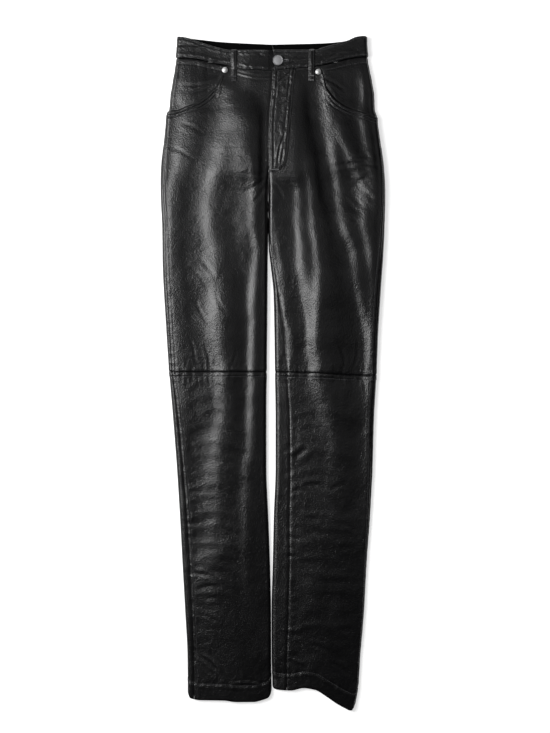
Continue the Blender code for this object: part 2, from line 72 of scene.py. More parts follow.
# The laid tube of each half, one row for each section: height up the body, inner and outer edge,
# thickness of the side fold, crown, rise at the centre, lift of the back, closure of the leg's
# inner side, and the shares of inseam and outseam. Millimetres.
sectionNames = ("y", "xIn", "xOut", "fold", "crown", "rise", "under", "close", "inseam", "outseam")
sectionRows = {
    "left": (
        (557, -0.36, -157.0, 11.0, 2.0, 2.0, 2.7, 0.0, centre, 1.175),
        (520, -0.36, -160.0, 11.5, 3.0, 3.0, 2.7, 0.0, centre, 1.175),
        (490, -0.76, -164.5, 12.5, 4.0, 4.7, 2.7, 0.0, centre, 1.175),
        (457, -2.86, -170.0, 14.0, 5.0, 5.7, 1.0, 0.0, centre, 1.175),
        (437, -4.96, -171.5, 15.0, 6.0, 6.1, 0.0, 0.0, centre, 1.170),
        (425, -5.76, -176.8, 15.5, 6.5, 6.3, 0.0, 0.0, centre, 1.165),
        (398, -6.86, -178.6, 16.0, 7.5, 6.9, 0.0, 0.0, centre, 1.140),
        (345, -6.56, -184.6, 17.0, 8.0, 5.8, 0.0, 0.0, centre, 1.090),
        (330, -6.96, -185.4, 17.0, 8.0, 5.0, 0.0, 0.3, centre, 1.080),
        (315, -7.46, -185.7, 17.0, 8.0, 4.2, 0.0, 0.7, centre, 1.070),
        (300, -7.86, -185.6, 17.0, 8.5, 3.4, 0.0, 1.0, centre, 1.065),
        (240, -7.86, -183.2, 16.0, 8.5, 1.5, 0.0, 1.0, -0.250, 1.035),
        (180, -8.5, -182.4, 15.0, 8.0, 0.6, 0.0, 1.0, -0.300, 1.015),
        (90, -9.0, -177.6, 14.0, 7.0, 0.0, 0.0, 1.0, -0.320, 1.005),
        (5, -10.0, -172.0, 12.5, 6.0, 0.0, 0.0, 1.0, -0.335, 1.000),
        (-60, -10.6, -166.4, 12.0, 5.5, 0.0, 0.0, 1.0, -0.335, 0.980),
        (-156, -10.6, -159.0, 11.0, 5.0, 0.0, 0.0, 1.0, -0.335, 0.960),
        (-235, -7.5, -154.0, 10.5, 4.5, 0.0, 0.0, 1.0, -0.335, 0.948),
        (-315, -4.6, -149.7, 10.0, 4.0, 0.0, 0.0, 1.0, -0.335, 0.943),
        (-394, -3.0, -145.3, 9.5, 4.0, 0.0, 0.0, 1.0, -0.335, 0.945),
        (-473, -2.7, -141.4, 9.0, 4.0, 0.0, 0.0, 1.0, -0.335, 0.950),
        (-557, -1.2, -141.0, 9.0, 3.5, 0.0, 0.0, 1.0, -0.335, 0.950),
    ),
    "right": (
        (557, -0.3, 154.5, 11.0, 2.0, 2.0, 2.7, 0.0, centre, 1.175),
        (520, -0.3, 157.0, 11.5, 3.0, 3.0, 2.7, 0.0, centre, 1.175),
        (490, -0.7, 162.5, 12.5, 4.0, 4.7, 2.7, 0.0, centre, 1.175),
        (457, -2.8, 168.0, 14.0, 5.0, 5.7, 1.0, 0.0, centre, 1.175),
        (437, -4.9, 168.6, 15.0, 6.0, 6.1, 0.0, 0.0, centre, 1.175),
        (425, -5.7, 172.2, 15.5, 6.5, 6.3, 0.0, 0.0, centre, 1.170),
        (398, -6.8, 175.6, 16.0, 7.5, 6.9, 0.0, 0.0, centre, 1.160),
        (345, -6.5, 183.2, 17.0, 8.0, 5.8, 0.0, 0.0, centre, 1.140),
        (330, -6.9, 184.4, 17.0, 8.0, 5.0, 0.0, 0.3, centre, 1.135),
        (315, -7.4, 185.2, 17.0, 8.0, 4.2, 0.0, 0.7, centre, 1.130),
        (300, -7.8, 185.7, 17.0, 8.5, 3.4, 0.0, 1.0, centre, 1.120),
        (240, -7.8, 184.4, 16.0, 8.5, 1.5, 0.0, 1.0, -0.140, 1.090),
        (207, -7.0, 183.0, 15.5, 8.5, 0.9, 0.0, 1.0, -0.060, 1.070),
        (180, -4.0, 181.4, 15.0, 8.0, 0.6, 0.0, 1.0, -0.020, 1.050),
        (131, 0.9, 178.0, 14.5, 7.5, 0.2, 0.0, 1.0, 0.010, 1.030),
        (62, 2.4, 173.8, 13.5, 6.5, 0.0, 0.0, 1.0, 0.058, 1.030),
        (5, 3.1, 171.7, 12.5, 6.0, 0.0, 0.0, 1.0, 0.080, 1.030),
        (-77, 4.2, 167.1, 11.5, 5.5, 0.0, 0.0, 1.0, 0.110, 1.030),
        (-156, 4.2, 164.8, 11.0, 5.0, 0.0, 0.0, 1.0, 0.118, 1.060),
        (-235, 1.4, 160.6, 10.5, 4.5, 0.0, 0.0, 1.0, 0.130, 1.090),
        (-315, -0.3, 154.9, 10.0, 4.0, 0.0, 0.0, 1.0, 0.146, 1.110),
        (-394, -2.4, 150.7, 9.5, 4.0, 0.0, 0.0, 1.0, 0.150, 1.120),
        (-473, -2.2, 144.1, 9.0, 4.0, 0.0, 0.0, 1.0, 0.134, 1.120),
        (-513, -1.0, 141.7, 9.0, 3.5, 0.0, 0.0, 1.0, 0.130, 1.120),
        (-557, -0.6, 134.8, 9.0, 3.5, 0.0, 0.0, 1.0, 0.130, 1.120),
    ),
}

# Lines across the trousers: share of the tube, height in millimetres.
waistSeam = {
    "left": ((0.0, 498.5), (0.20, 500), (0.45, 507), (0.59, 511), (0.82, 518), (1.0, 520), (1.175, 521),
             (1.35, 520), (1.80, 513), (2.35, 508)),
    "right": ((0.0, 499), (0.19, 502), (0.38, 503), (0.45, 506), (0.62, 511), (0.81, 518), (1.0, 522),
              (1.175, 522), (1.35, 520), (1.80, 513), (2.35, 508)),
}
bandTop = {
    "left": ((0.0, 532.5), (0.43, 533), (0.62, 539), (0.78, 546), (0.95, 554), (1.0, 555), (1.175, 556),
             (1.35, 555), (1.56, 552), (1.82, 548), (2.35, 544)),
    "right": ((0.0, 533), (0.43, 533), (0.53, 537), (0.68, 543), (0.82, 549), (0.92, 555), (1.0, 556.5),
              (1.175, 556), (1.35, 556), (1.47, 552), (1.64, 548), (1.82, 546), (2.35, 544)),
}
frontTop = {
    "left": ((0.0, 498.5), (0.20, 500), (0.45, 507), (0.49, 503), (0.53, 479), (0.60, 466), (0.67, 455),
             (0.76, 446), (0.86, 440), (0.97, 434), (1.2, 433)),
    "right": ((0.0, 499), (0.19, 502), (0.38, 503), (0.46, 505), (0.50, 500), (0.53, 475), (0.59, 460),
              (0.65, 450), (0.74, 441), (0.83, 435), (0.92, 430), (1.01, 425), (1.2, 423)),
}
knee = {
    "left": ((-0.175, 2), (1.0, 2), (1.35, 5), (2.35, 5), (2.525, 2)),
    "right": ((-0.175, 2), (0.4, 0), (0.75, -3.5), (1.0, -4), (1.35, 1), (2.35, 4), (2.525, 2)),
}
hem = {
    "left": ((-0.175, -523), (-0.05, -534), (0.10, -541), (0.18, -543), (0.41, -543), (0.57, -540.5),
             (0.88, -540), (1.0, -537), (1.175, -529), (1.35, -533), (1.85, -538), (2.35, -532)),
    "right": ((-0.175, -518), (0.03, -523), (0.18, -524), (0.34, -520), (0.49, -523), (0.64, -534),
              (0.79, -546), (0.90, -553), (0.985, -557.2), (1.175, -548), (1.35, -550), (1.6, -536),
              (1.85, -521), (2.35, -520)),
}
flyStitch = ((496, 36), (466, 33), (432, 30), (398, 26.5), (365, 24), (345, 20), (337, 12), (333, 0))

# Lengthwise folds as tilted faces. Each row gives height up the body, x of the face's middle, its
# half width and its tilt in degrees; a face that tilts up to the right is above zero. Millimetres.
faces = {
    "left": (
        ((505, -150, 5, 0), (485, -150, 4, 5), (450, -151, 4, 6), (430, -147, 7, 5),
         (400, -151, 9, 7), (350, -162, 8, 8), (300, -172, 8, 9),
         (200, -174, 8, 8), (100, -168, 8, 6), (12, -162, 9, 7), (-60, -156, 9, 4), (-180, -150, 9, 0)),
        ((556, -118, 36, -7), (515, -118, 36, -10), (485, -118, 34, -15), (460, -120, 26, -14),
         (440, -118, 17, -11), (400, -121, 15, -10),
         (350, -134, 14, -8), (300, -147, 14, -8), (250, -150, 14, -9), (200, -150, 13, -9),
         (100, -142, 13, -8),
         (12, -138, 12, -5), (-110, -136, 14, -5), (-250, -130, 14, -2), (-330, -130, 14, 0)),
        ((480, -84, 11, 0), (465, -80, 12, 6), (440, -78, 12, 13), (400, -83, 13, 13), (350, -94, 11, 13),
         (300, -107, 11, 14), (250, -110, 11, 16), (200, -104, 14, 15), (150, -102, 12, 16),
         (100, -101, 13, 17),
         (50, -96, 12, 18), (12, -92, 12, 18), (-60, -89, 12, 12), (-110, -97, 13, 11), (-180, -102, 16, 9),
         (-250, -100, 18, 7), (-330, -112, 18, 5), (-420, -110, 18, 0)),
        ((460, -58, 16, 0), (430, -58, 16, 6), (400, -58, 16, 9), (350, -56, 16, 9),
         (300, -54, 16, 12), (250, -54, 15, 13),
         (200, -50, 13, 10), (150, -48, 12, 4), (110, -50, 12, 0)),
        ((370, -38, 7, 0), (350, -38, 7, 6), (300, -36, 7, 14), (250, -35, 7, 16), (200, -30, 8, 21),
         (150, -34, 7, 23), (100, -37, 6.5, 26), (50, -37, 6.5, 24), (12, -37, 6.5, 24), (-60, -38, 7, 17),
         (-110, -41, 7, 13), (-180, -46, 8, 10), (-250, -48, 8, 8), (-330, -48, 8, 6), (-440, -46, 8, 0)),
        ((200, -74, 10, 0), (150, -64, 9, -4), (100, -60, 9, -5), (12, -57, 9, -5), (-60, -58, 9, -3),
         (-180, -68, 9, -1), (-250, -70, 9, 0)),
        ((556, -56, 40, -4), (500, -56, 40, -4), (470, -40, 26, -5), (440, -28, 14, -9),
         (400, -20, 12, -15),
         (340, -18, 10, -14), (300, -18, 10, 0)),
    ),
    "right": (
        ((495, 78, 9, 6), (440, 86, 12, 20), (400, 92, 13, 25), (350, 97, 9, 22), (300, 107, 9, 20),
         (250, 114, 9, 19), (200, 129, 9, 23), (150, 138, 9, 20), (100, 147, 9, 23), (50, 156, 9, 23),
         (12, 156, 10, 20), (-60, 154, 10, 11), (-180, 150, 10, 6), (-300, 146, 9, 0)),
        ((440, 110, 7, 0), (400, 109, 7, 14), (350, 125, 9, 21), (300, 144, 14, 25), (250, 147, 9, 23),
         (200, 158, 8, 20), (150, 160, 8, 15), (100, 162, 7, 12), (50, 166, 7, 0)),
        ((470, 142, 7, 10), (440, 140, 7, 12), (400, 146, 7, 24), (350, 157, 7, 16), (300, 164, 7, 15),
         (250, 170, 7, 0)),
        ((390, 48, 7, 0), (352, 50, 7, 10), (300, 60, 6, 14), (250, 61, 6, 17), (200, 71, 7, 18),
         (150, 70, 9, 18), (100, 68, 9, 19), (55, 65, 9, 22), (12, 66, 12, 20), (-15, 68, 13, 12),
         (-60, 80, 16, 12), (-110, 94, 16, 9), (-180, 96, 16, 5), (-300, 90, 14, 0)),
        ((400, 26, 8, 4), (352, 32, 7, 10), (300, 39, 6, 11), (250, 41, 6, 14), (200, 42, 8, 20),
         (150, 49, 8, 22), (100, 57, 7, 21), (50, 60, 6, 6), (12, 60, 6, 0)),
        ((270, -4, 5, 0), (250, -4, 5, 8), (200, 3, 6, 14), (150, 10, 7, 14), (104, 13, 7, 20),
         (55, 22, 7, 21),
         (12, 23, 7, 19), (-15, 24, 8, 8), (-60, 22, 8, 0)),
        ((470, 52, 9, -4), (440, 54, 10, -8), (400, 62, 8, -13), (350, 72, 8, -14), (300, 78, 9, -13),
         (250, 88, 11, -10), (200, 98, 13, -8), (150, 104, 15, -7), (100, 108, 18, -6), (50, 110, 20, -5),
         (12, 108, 20, -5), (-60, 118, 16, -3), (-180, 122, 16, -2), (-250, 120, 16, 0)),
        ((502, 143, 3, 0), (488, 145, 3, 12), (455, 147, 3, 22), (436, 147, 3, 8), (420, 148, 4, 0)),
        ((350, 12, 7, 0), (300, 22, 7, -3), (250, 20, 8, -4), (200, 18, 7, -4), (150, 26, 6, -2),
         (100, 32, 8, -3),
         (50, 38, 8, -4), (12, 40, 8, -3), (-15, 40, 8, 0)),
    ),
}

# Single creases: from (x, y) to (x, y), half width and depth; a negative depth stands up.
creases = {
    "left": (
        (-4, 486, -62, 496, 1.7, -0.38), (-30, 378, -96, 375, 2.6, 0.16),
        (-24, 346, -92, 342, 2.8, 0.22), (-40, 289, -98, 284, 2.4, 0.16),
        (-36, 236, -100, 240, 2.6, 0.16), (-82, 492, -132, 462, 3.0, 0.45),
        (-84, 486, -150, 474, 2.6, 0.35),
        (-120, -462, -84, -492, 3.0, -0.5), (-126, -470, -92, -500, 2.6, -0.35),
        (-66, -512, -14, -516, 1.8, -0.7),
        (-95, 515, -112, 500, 2.2, 0.4), (-10, 322, -46, 300, 3.0, 0.4), (-12, 328, -52, 330, 2.4, 0.3),
        (-10, 316, -32, 280, 2.6, 0.4), (-118, 186, -92, 150, 3.4, 0.35), (-132, 170, -104, 132, 3.0, 0.3),
        (-60, 40, -72, 6, 2.2, 0.3), (-112, 44, -104, 8, 2.6, 0.35), (-138, 60, -128, 8, 2.4, 0.3),
        (-150, 412, -118, 396, 3.0, 0.3), (-168, 372, -132, 352, 3.0, 0.3), (-96, 70, -128, 120, 3.0, 0.3),
        (-72, 92, -96, 138, 2.8, 0.25), (-132, -205, -118, -222, 2.4, -0.4),
        (-134, -330, -96, -338, 2.6, 0.35),
        (-130, -352, -88, -346, 2.4, -0.3), (-126, -398, -92, -410, 2.6, 0.3),
    ),
    "right": (
        (1, 469, 30, 494, 1.7, 0.7), (8, 344, 22, 398, 1.5, 0.7), (4, 410, 22, 430, 2.6, 0.3),
        (2, 440, 26, 452, 2.4, 0.3), (92, 339, 180, 341, 3.2, 0.55), (126, 300, 168, 330, 3.4, 0.28),
        (130, 268, 172, 296, 3.4, 0.28), (134, 352, 168, 362, 2.8, 0.3), (122, 322, 146, 306, 3.0, 0.22),
        (78, 488, 118, 466, 2.6, 0.45), (80, 480, 104, 448, 2.4, 0.4),
        (-4, 322, 26, 306, 2.8, 0.35), (-4, 318, 18, 284, 2.8, 0.35), (-2, 330, 34, 326, 2.4, 0.3),
        (30, 120, 50, 126, 2.6, 0.2), (40, 60, 60, 44, 2.8, 0.2), (104, 60, 120, 8, 2.8, 0.3),
        (140, 60, 134, 8, 2.4, 0.3), (95, 522, 106, 525, 2.0, 0.8), (34, -140, 58, -124, 5.0, 0.8),
        (20, -205, 46, -190, 3.4, 0.35), (50, -186, 78, -184, 3.2, 0.35), (92, -194, 116, -184, 3.2, 0.3),
        (14, -168, 34, -160, 3.4, 0.3), (118, -250, 138, -262, 3.0, 0.3), (24, -470, 52, -482, 3.0, -0.45),
        (92, -476, 128, -500, 3.0, 0.4), (60, -448, 96, -462, 3.0, 0.3),
    ),
}


def tableColumns(rows, names):
    values = np.array(rows, dtype=float)[::-1]
    return {name: values[:, index] for index, name in enumerate(names)}


def smoothCurve(at, knots, values):
    # Piecewise cubic through the knots; the slope at a knot is the harmonic mean of its two chords,
    # or zero where they turn.
    knots = np.asarray(knots, dtype=float)
    values = np.asarray(values, dtype=float)
    step = np.diff(knots)
    chord = np.diff(values) / step
    both = chord[:-1] * chord[1:]
    mean = np.where(both > 0, 2 * both / np.where(both > 0, chord[:-1] + chord[1:], 1), 0)
    slope = np.concatenate([chord[:1], mean, chord[-1:]])
    at = np.clip(at, knots[0], knots[-1])
    index = np.clip(np.searchsorted(knots, at) - 1, 0, len(step) - 1)
    t = (at - knots[index]) / step[index]
    start = (1 + 2 * t) * (1 - t) ** 2 * values[index] + t * (1 - t) ** 2 * step[index] * slope[index]
    end = t * t * (3 - 2 * t) * values[index + 1] + t * t * (t - 1) * step[index] * slope[index + 1]
    return start + end


def softStep(value):
    # 0 to 1 with level ends: 3t^2 - 2t^3.
    t = np.clip(value, 0, 1)
    return t * t * (3 - 2 * t)


def sectionAt(half, y):
    columns = tableColumns(sectionRows[half], sectionNames)
    shares = ("close", "inseam", "outseam")
    return {name: smoothCurve(y / mm, columns["y"], columns[name]) * (1 if name in shares else mm)
            for name in sectionNames[1:]}


def lineAt(rows, share):
    points = np.array(rows, dtype=float)
    return smoothCurve(share, points[:, 0], points[:, 1]) * mm


def ringLine(rows, share):
    # A line that closes round the tube.
    end = lap + centre
    wrapped = np.where(share > end, share - lap, np.where(share < centre, share + lap, share))
    closed = tuple(rows)
    if rows[-1][0] <= end - 0.001:
        closed += ((end, rows[0][1]),)
    return lineAt(closed, wrapped)


def tubePoint(half, y, share, depth=0.0):
    # The laid tube: flat back, half-round side fold, crowned top, and an inner fold that closes
    # below the crotch. depth goes into the leather.
    side = sideOf[half]
    s = sectionAt(half, y)
    share = np.where(share < centre - 1e-9, share + lap, share)
    share = np.where(share > centre + lap + 1e-9, share - lap, share)
    radius = s["fold"] / 2
    inner = s["xIn"] + side * innerFold
    outer = s["xOut"] - side * radius
    across = np.clip(share, 0, 1)
    topX = inner + (outer - inner) * across
    crown = 0.6 * s["crown"] * np.sin(across * math.pi) ** 1.25
    topZ = s["fold"] + crown + s["rise"] * (1 - across) ** 2 * (1 + 2 * across) - depth
    turn = np.clip((share - 1) / arc, 0, 1) * math.pi
    sideX = outer + side * (radius - depth) * np.sin(turn)
    sideZ = radius + (radius - depth) * np.cos(turn)
    back = np.clip(2 + arc - share, 0, 1)
    backX = inner + (outer - inner) * back
    height = s["fold"] + s["rise"]
    reach = innerFold - depth * s["close"]
    frontTurn = np.clip(-share / arc, 0, 0.5) * math.pi
    frontEnd = height * (1 - s["close"] / 2) - depth * (1 - s["close"])
    foldX = inner - side * reach * np.sin(frontTurn)
    foldZ = frontEnd + (height - depth - frontEnd) * np.cos(frontTurn)
    backTurn = np.clip((share - 2 - arc) / arc, 0, 0.5) * math.pi
    backEnd = height * s["close"] / 2 + depth * (1 - s["close"])
    lowX = inner - side * reach * np.sin(backTurn)
    lowZ = backEnd + (depth - backEnd) * np.cos(backTurn)
    zones = [share < 0, share <= 1, share <= 1 + arc, share <= 2 + arc]
    x = np.select(zones, [foldX, topX, sideX, backX], lowX)
    z = np.select(zones, [foldZ, topZ, sideZ, depth + 0 * x], lowZ)
    return np.stack([x, y + 0 * x, z + s["under"]], axis=-1)


def shareAt(half, y, x):
    # Share of the top layer's point at x.
    side = sideOf[half]
    s = sectionAt(half, y)
    inner = s["xIn"] + side * innerFold
    outer = s["xOut"] - side * s["fold"] / 2
    flat = (x - inner) / (outer - inner)
    onFold = np.clip((inner - x) * side / innerFold, 0, 1)
    return np.where(flat >= 0, flat, -np.arcsin(onFold) / math.pi * arc)


def valueNoise(u, v, seed):
    # Random heights on a whole-number lattice, joined by soft steps; -1 to 1.
    grid = np.random.default_rng(seed).uniform(-1, 1, (64, 64))
    column, row = np.floor(u).astype(int), np.floor(v).astype(int)
    across, up = softStep(u - column), softStep(v - row)
    low = grid[row % 64, column % 64] * (1 - across) + grid[row % 64, (column + 1) % 64] * across
    high = grid[(row + 1) % 64, column % 64] * (1 - across) + grid[(row + 1) % 64, (column + 1) % 64] * across
    return low * (1 - up) + high * up


def faceHeight(half, x, y):
    # A face's rise is tan(tilt) times half width times tanh(distance / half width), in metres.
    height = 0 * x
    for number, rows in enumerate(faces[half]):
        table = np.array(rows, dtype=float)[::-1]
        middle, width, tilt = (smoothCurve(y / mm, table[:, 0], table[:, column]) for column in (1, 2, 3))
        middle = middle + 1.8 * valueNoise(y / mm / 41, 0 * y + number, 11 + number)
        tilt = tilt * (1 + 0.16 * valueNoise(y / mm / 33, 0 * y + number + 7, 5))
        tilt = tilt * softStep((y / mm - table[0, 0]) / 30 + 1) * softStep((table[-1, 0] - y / mm) / 30 + 1)
        height = height + np.tan(np.radians(tilt)) * width * np.tanh((x / mm - middle) / width) * mm
    return height


def foldHeight(half, x, y):
    # The faces' sum, brought back to nothing at both edges of the leg by an even ramp.
    s = sectionAt(half, y)
    inner, outer = s["xIn"] + sideOf[half] * 3 * mm, s["xOut"] - sideOf[half] * 3 * mm
    part = (x - inner) / (outer - inner)
    atInner = faceHeight(half, inner, y)
    atOuter = faceHeight(half, outer, y)
    return faceHeight(half, x, y) - atInner * (1 - part) - atOuter * part


def creaseHeight(rows, x, y):
    # Sum of single creases: a narrow trough between two low shoulders, fading at both ends.
    height = 0 * x
    for startX, startY, endX, endY, half, depth in rows:
        length = math.hypot(endX - startX, endY - startY)
        alongX, alongY = (endX - startX) / length, (endY - startY) / length
        dx, dy = x / mm - startX, y / mm - startY
        along = (dx * alongX + dy * alongY) / length
        bow = 0.06 * length * np.sin(np.clip(along, 0, 1) * math.pi)
        across = (dy * alongX - dx * alongY - bow) / half
        trough = np.exp(-across ** 2) - 0.45 * np.exp(-((np.abs(across) - 1.9) ** 2))
        fade = softStep((along + 0.12) / 0.4) * softStep((1.12 - along) / 0.4)
        height = height - depth * mm * trough * fade
    return height


def scatterCreases(area, count, length, half, depth, lean, seed):
    # Rows of short creases strewn over an area (x from, x to, y from, y to), leaning about one angle.
    draw = np.random.default_rng(seed)
    x = draw.uniform(min(area[:2]), max(area[:2]), count)
    y = draw.uniform(area[2], area[3], count)
    angle = np.radians(draw.normal(lean[0], lean[1], count))
    size = draw.uniform(0.5, 1.4, count) * length
    deep = draw.uniform(0.4, 1.2, count) * depth * np.where(draw.uniform(0, 1, count) < 0.35, -1, 1)
    wide = draw.uniform(0.7, 1.4, count) * half
    return np.stack([x - size * np.cos(angle) / 2, y - size * np.sin(angle) / 2,
                     x + size * np.cos(angle) / 2, y + size * np.sin(angle) / 2, wide, deep], axis=-1)


backCreases = {
    half: np.concatenate([
        scatterCreases((35 * side, 150 * side, 240, 480), 9, 80, 3.4, 0.6, (12 * side, 14), 201),
        scatterCreases((25 * side, 160 * side, 20, 240), 9, 70, 3.0, 0.5, (40 * side, 30), 203),
        scatterCreases((25 * side, 135 * side, -160, -20), 10, 60, 3.0, 0.7, (4, 12), 205),
        scatterCreases((25 * side, 125 * side, -500, -180), 10, 60, 3.4, 0.6, (10 * side, 24), 207),
    ]) for half, side in sideOf.items()
}


def archHeight(x, y, middle, top, bottom, step, width, depth, seed):
    # A ladder of arched folds one below the other, each a bow that is highest at its middle.
    draw = np.random.default_rng(seed)
    height = 0 * x
    level = top
    while level > bottom:
        off = (x / mm - middle - draw.uniform(-8, 8)) / (width * draw.uniform(0.7, 1.2))
        bow = level - 17 * off ** 2
        near = (y / mm - bow) / (step * 0.27)
        height = height + depth * mm * np.exp(-near ** 2) * np.exp(-off ** 4) * draw.uniform(0.5, 1.2)
        level -= step * draw.uniform(0.75, 1.3)
    return height


def gridNormals(points, half):
    # Unit normals of a grid of points from the cross product of its two directions, facing out.
    across = np.gradient(points, axis=1)
    down = np.gradient(points, axis=0)
    normal = np.cross(down, across) * -sideOf[half]
    return -normal / np.maximum(np.linalg.norm(normal, axis=-1, keepdims=True), 1e-12)


def addPiece(name, mesh, materials):
    for material in materials:
        mesh.materials.append(material)
    piece = bpy.data.objects.new(name, mesh)
    bpy.context.scene.collection.objects.link(piece)
    return piece


def meshFrom(name, points, quads, materials, slots, smooth=50):
    mesh = bpy.data.meshes.new(name)
    mesh.vertices.add(len(points))
    mesh.vertices.foreach_set("co", np.asarray(points, dtype=np.float32).ravel())
    mesh.loops.add(quads.size)
    mesh.loops.foreach_set("vertex_index", quads.astype(np.int32).ravel())
    mesh.polygons.add(len(quads))
    mesh.polygons.foreach_set("loop_start", np.arange(0, quads.size, 4, dtype=np.int32))
    mesh.polygons.foreach_set("material_index", np.asarray(slots, dtype=np.int32))
    mesh.polygons.foreach_set("use_smooth", np.ones(len(quads), dtype=bool))
    mesh.update(calc_edges=True)
    mesh.validate()
    mesh.set_sharp_from_angle(angle=math.radians(smooth))
    return addPiece(name, mesh, materials)


def shell(name, outer, inner, materials):
    # A closed wall between two grids: outer faces, inner faces and a rim all round.
    rows, columns = outer.shape[:2]
    points = np.concatenate([outer.reshape(-1, 3), inner.reshape(-1, 3)])
    number = np.arange(rows * columns).reshape(rows, columns)
    below = number + rows * columns
    face = np.stack([number[:-1, :-1], number[1:, :-1], number[1:, 1:], number[:-1, 1:]], -1).reshape(-1, 4)
    lining = np.stack([below[:-1, :-1], below[:-1, 1:], below[1:, 1:], below[1:, :-1]], -1).reshape(-1, 4)
    rims = [(number[0, :], below[0, :]), (number[:, -1], below[:, -1]),
            (number[-1, ::-1], below[-1, ::-1]), (number[::-1, 0], below[::-1, 0])]
    rim = np.concatenate([np.stack([edge[:-1], edge[1:], under[1:], under[:-1]], -1) for edge, under in rims])
    quads = np.concatenate([face, lining, rim])
    corner = points[quads]
    middle = points.mean(axis=0)
    a, b, c, d = (corner[:, index] - middle for index in range(4))
    if (a * np.cross(b, c)).sum() + (a * np.cross(c, d)).sum() < 0:
        quads = quads[:, ::-1]
    slots = np.repeat([0, 1, 2], [len(face), len(lining), len(rim)])
    return meshFrom(name, points, quads, materials, slots)


# Materials

def newGroup(name, inputs, outputs):
    group = bpy.data.node_groups.new(name, "ShaderNodeTree")
    for label, value in inputs:
        socket = group.interface.new_socket(label, in_out="INPUT", socket_type="NodeSocketFloat")
        socket.default_value = value
    for label in outputs:
        group.interface.new_socket(label, in_out="OUTPUT", socket_type="NodeSocketFloat")
    return group, group.nodes.new("NodeGroupInput"), group.nodes.new("NodeGroupOutput")


def mathNode(nodes, links, operation, first, second):
    node = nodes.new("ShaderNodeMath")
    node.operation = operation
    for index, value in enumerate((first, second)):
        if isinstance(value, (int, float)):
            node.inputs[index].default_value = value
        else:
            links.new(value, node.inputs[index])
    return node.outputs[0]


def grainGroup():
    # Height of the hide: pebbled cells with soft valleys, plus fine broken creases; and a slow mottle.
    group, given, result = newGroup("hideGrain", (("Cells", 900.0), ("Creases", 160.0)), ("Height", "Mottle"))
    nodes, links = group.nodes, group.links
    place = nodes.new("ShaderNodeTexCoord")
    cells = nodes.new("ShaderNodeTexVoronoi")
    cells.feature = "SMOOTH_F1"
    links.new(place.outputs["Object"], cells.inputs["Vector"])
    links.new(given.outputs["Cells"], cells.inputs["Scale"])
    fine = nodes.new("ShaderNodeTexNoise")
    fine.inputs["Detail"].default_value = 3.0
    fine.inputs["Distortion"].default_value = 0.9
    links.new(place.outputs["Object"], fine.inputs["Vector"])
    links.new(given.outputs["Creases"], fine.inputs["Scale"])
    middle = mathNode(nodes, links, "SUBTRACT", fine.outputs["Fac"], 0.5)
    ridge = mathNode(nodes, links, "ABSOLUTE", middle, 0.0)
    grain = mathNode(nodes, links, "MULTIPLY", cells.outputs["Distance"], 0.5)
    links.new(mathNode(nodes, links, "ADD", grain, ridge), result.inputs["Height"])
    slow = nodes.new("ShaderNodeTexNoise")
    slow.inputs["Scale"].default_value = 26.0
    slow.inputs["Detail"].default_value = 4.0
    links.new(place.outputs["Object"], slow.inputs["Vector"])
    links.new(slow.outputs["Fac"], result.inputs["Mottle"])
    return group


def newMaterial(name, colour, roughness, metallic=0.0):
    material = bpy.data.materials.new(name)
    material.use_nodes = True
    shader = material.node_tree.nodes["Principled BSDF"]
    shader.inputs["Base Color"].default_value = (*colour, 1)
    shader.inputs["Roughness"].default_value = roughness
    shader.inputs["Metallic"].default_value = metallic
    return material, material.node_tree.nodes, material.node_tree.links, shader


def addTexture(nodes, links, kind, scale):
    texture = nodes.new(kind)
    texture.inputs["Scale"].default_value = scale
    place = nodes.new("ShaderNodeTexCoord")
    links.new(place.outputs["Object"], texture.inputs["Vector"])
    return texture


def addGloss(nodes, links, shader, factor, low, high):
    spread = nodes.new("ShaderNodeMapRange")
    spread.inputs["To Min"].default_value = low
    spread.inputs["To Max"].default_value = high
    links.new(factor, spread.inputs["Value"])
    links.new(spread.outputs["Result"], shader.inputs["Roughness"])


def addTone(nodes, links, shader, factor, first, second):
    tone = nodes.new("ShaderNodeMix")
    tone.data_type = "RGBA"
    tone.inputs["A"].default_value = (*first, 1)
    tone.inputs["B"].default_value = (*second, 1)
    links.new(factor, tone.inputs["Factor"])
    links.new(tone.outputs["Result"], shader.inputs["Base Color"])


def addBump(nodes, links, shader, height, strength, relief):
    bump = nodes.new("ShaderNodeBump")
    bump.inputs["Strength"].default_value = strength
    bump.inputs["Distance"].default_value = relief * mm
    links.new(height, bump.inputs["Height"])
    links.new(bump.outputs["Normal"], shader.inputs["Normal"])


def leatherMaterial(name, grain, look):
    # Nappa: nearly black, its gloss and colour mottled, its grain and fine creases as bump.
    material, nodes, links, shader = newMaterial(name, look["colour"], look["gloss"])
    shader.inputs["Specular IOR Level"].default_value = look["specular"]
    hide = nodes.new("ShaderNodeGroup")
    hide.node_tree = grain
    hide.inputs["Cells"].default_value = look["cells"]
    hide.inputs["Creases"].default_value = look["creases"]
    slow = hide.outputs["Mottle"]
    addGloss(nodes, links, shader, slow, look["gloss"] - look["uneven"], look["gloss"] + look["uneven"])
    addTone(nodes, links, shader, slow, look["colour"], look["worn"])
    addBump(nodes, links, shader, hide.outputs["Height"], look["bump"], look["relief"])
    return material


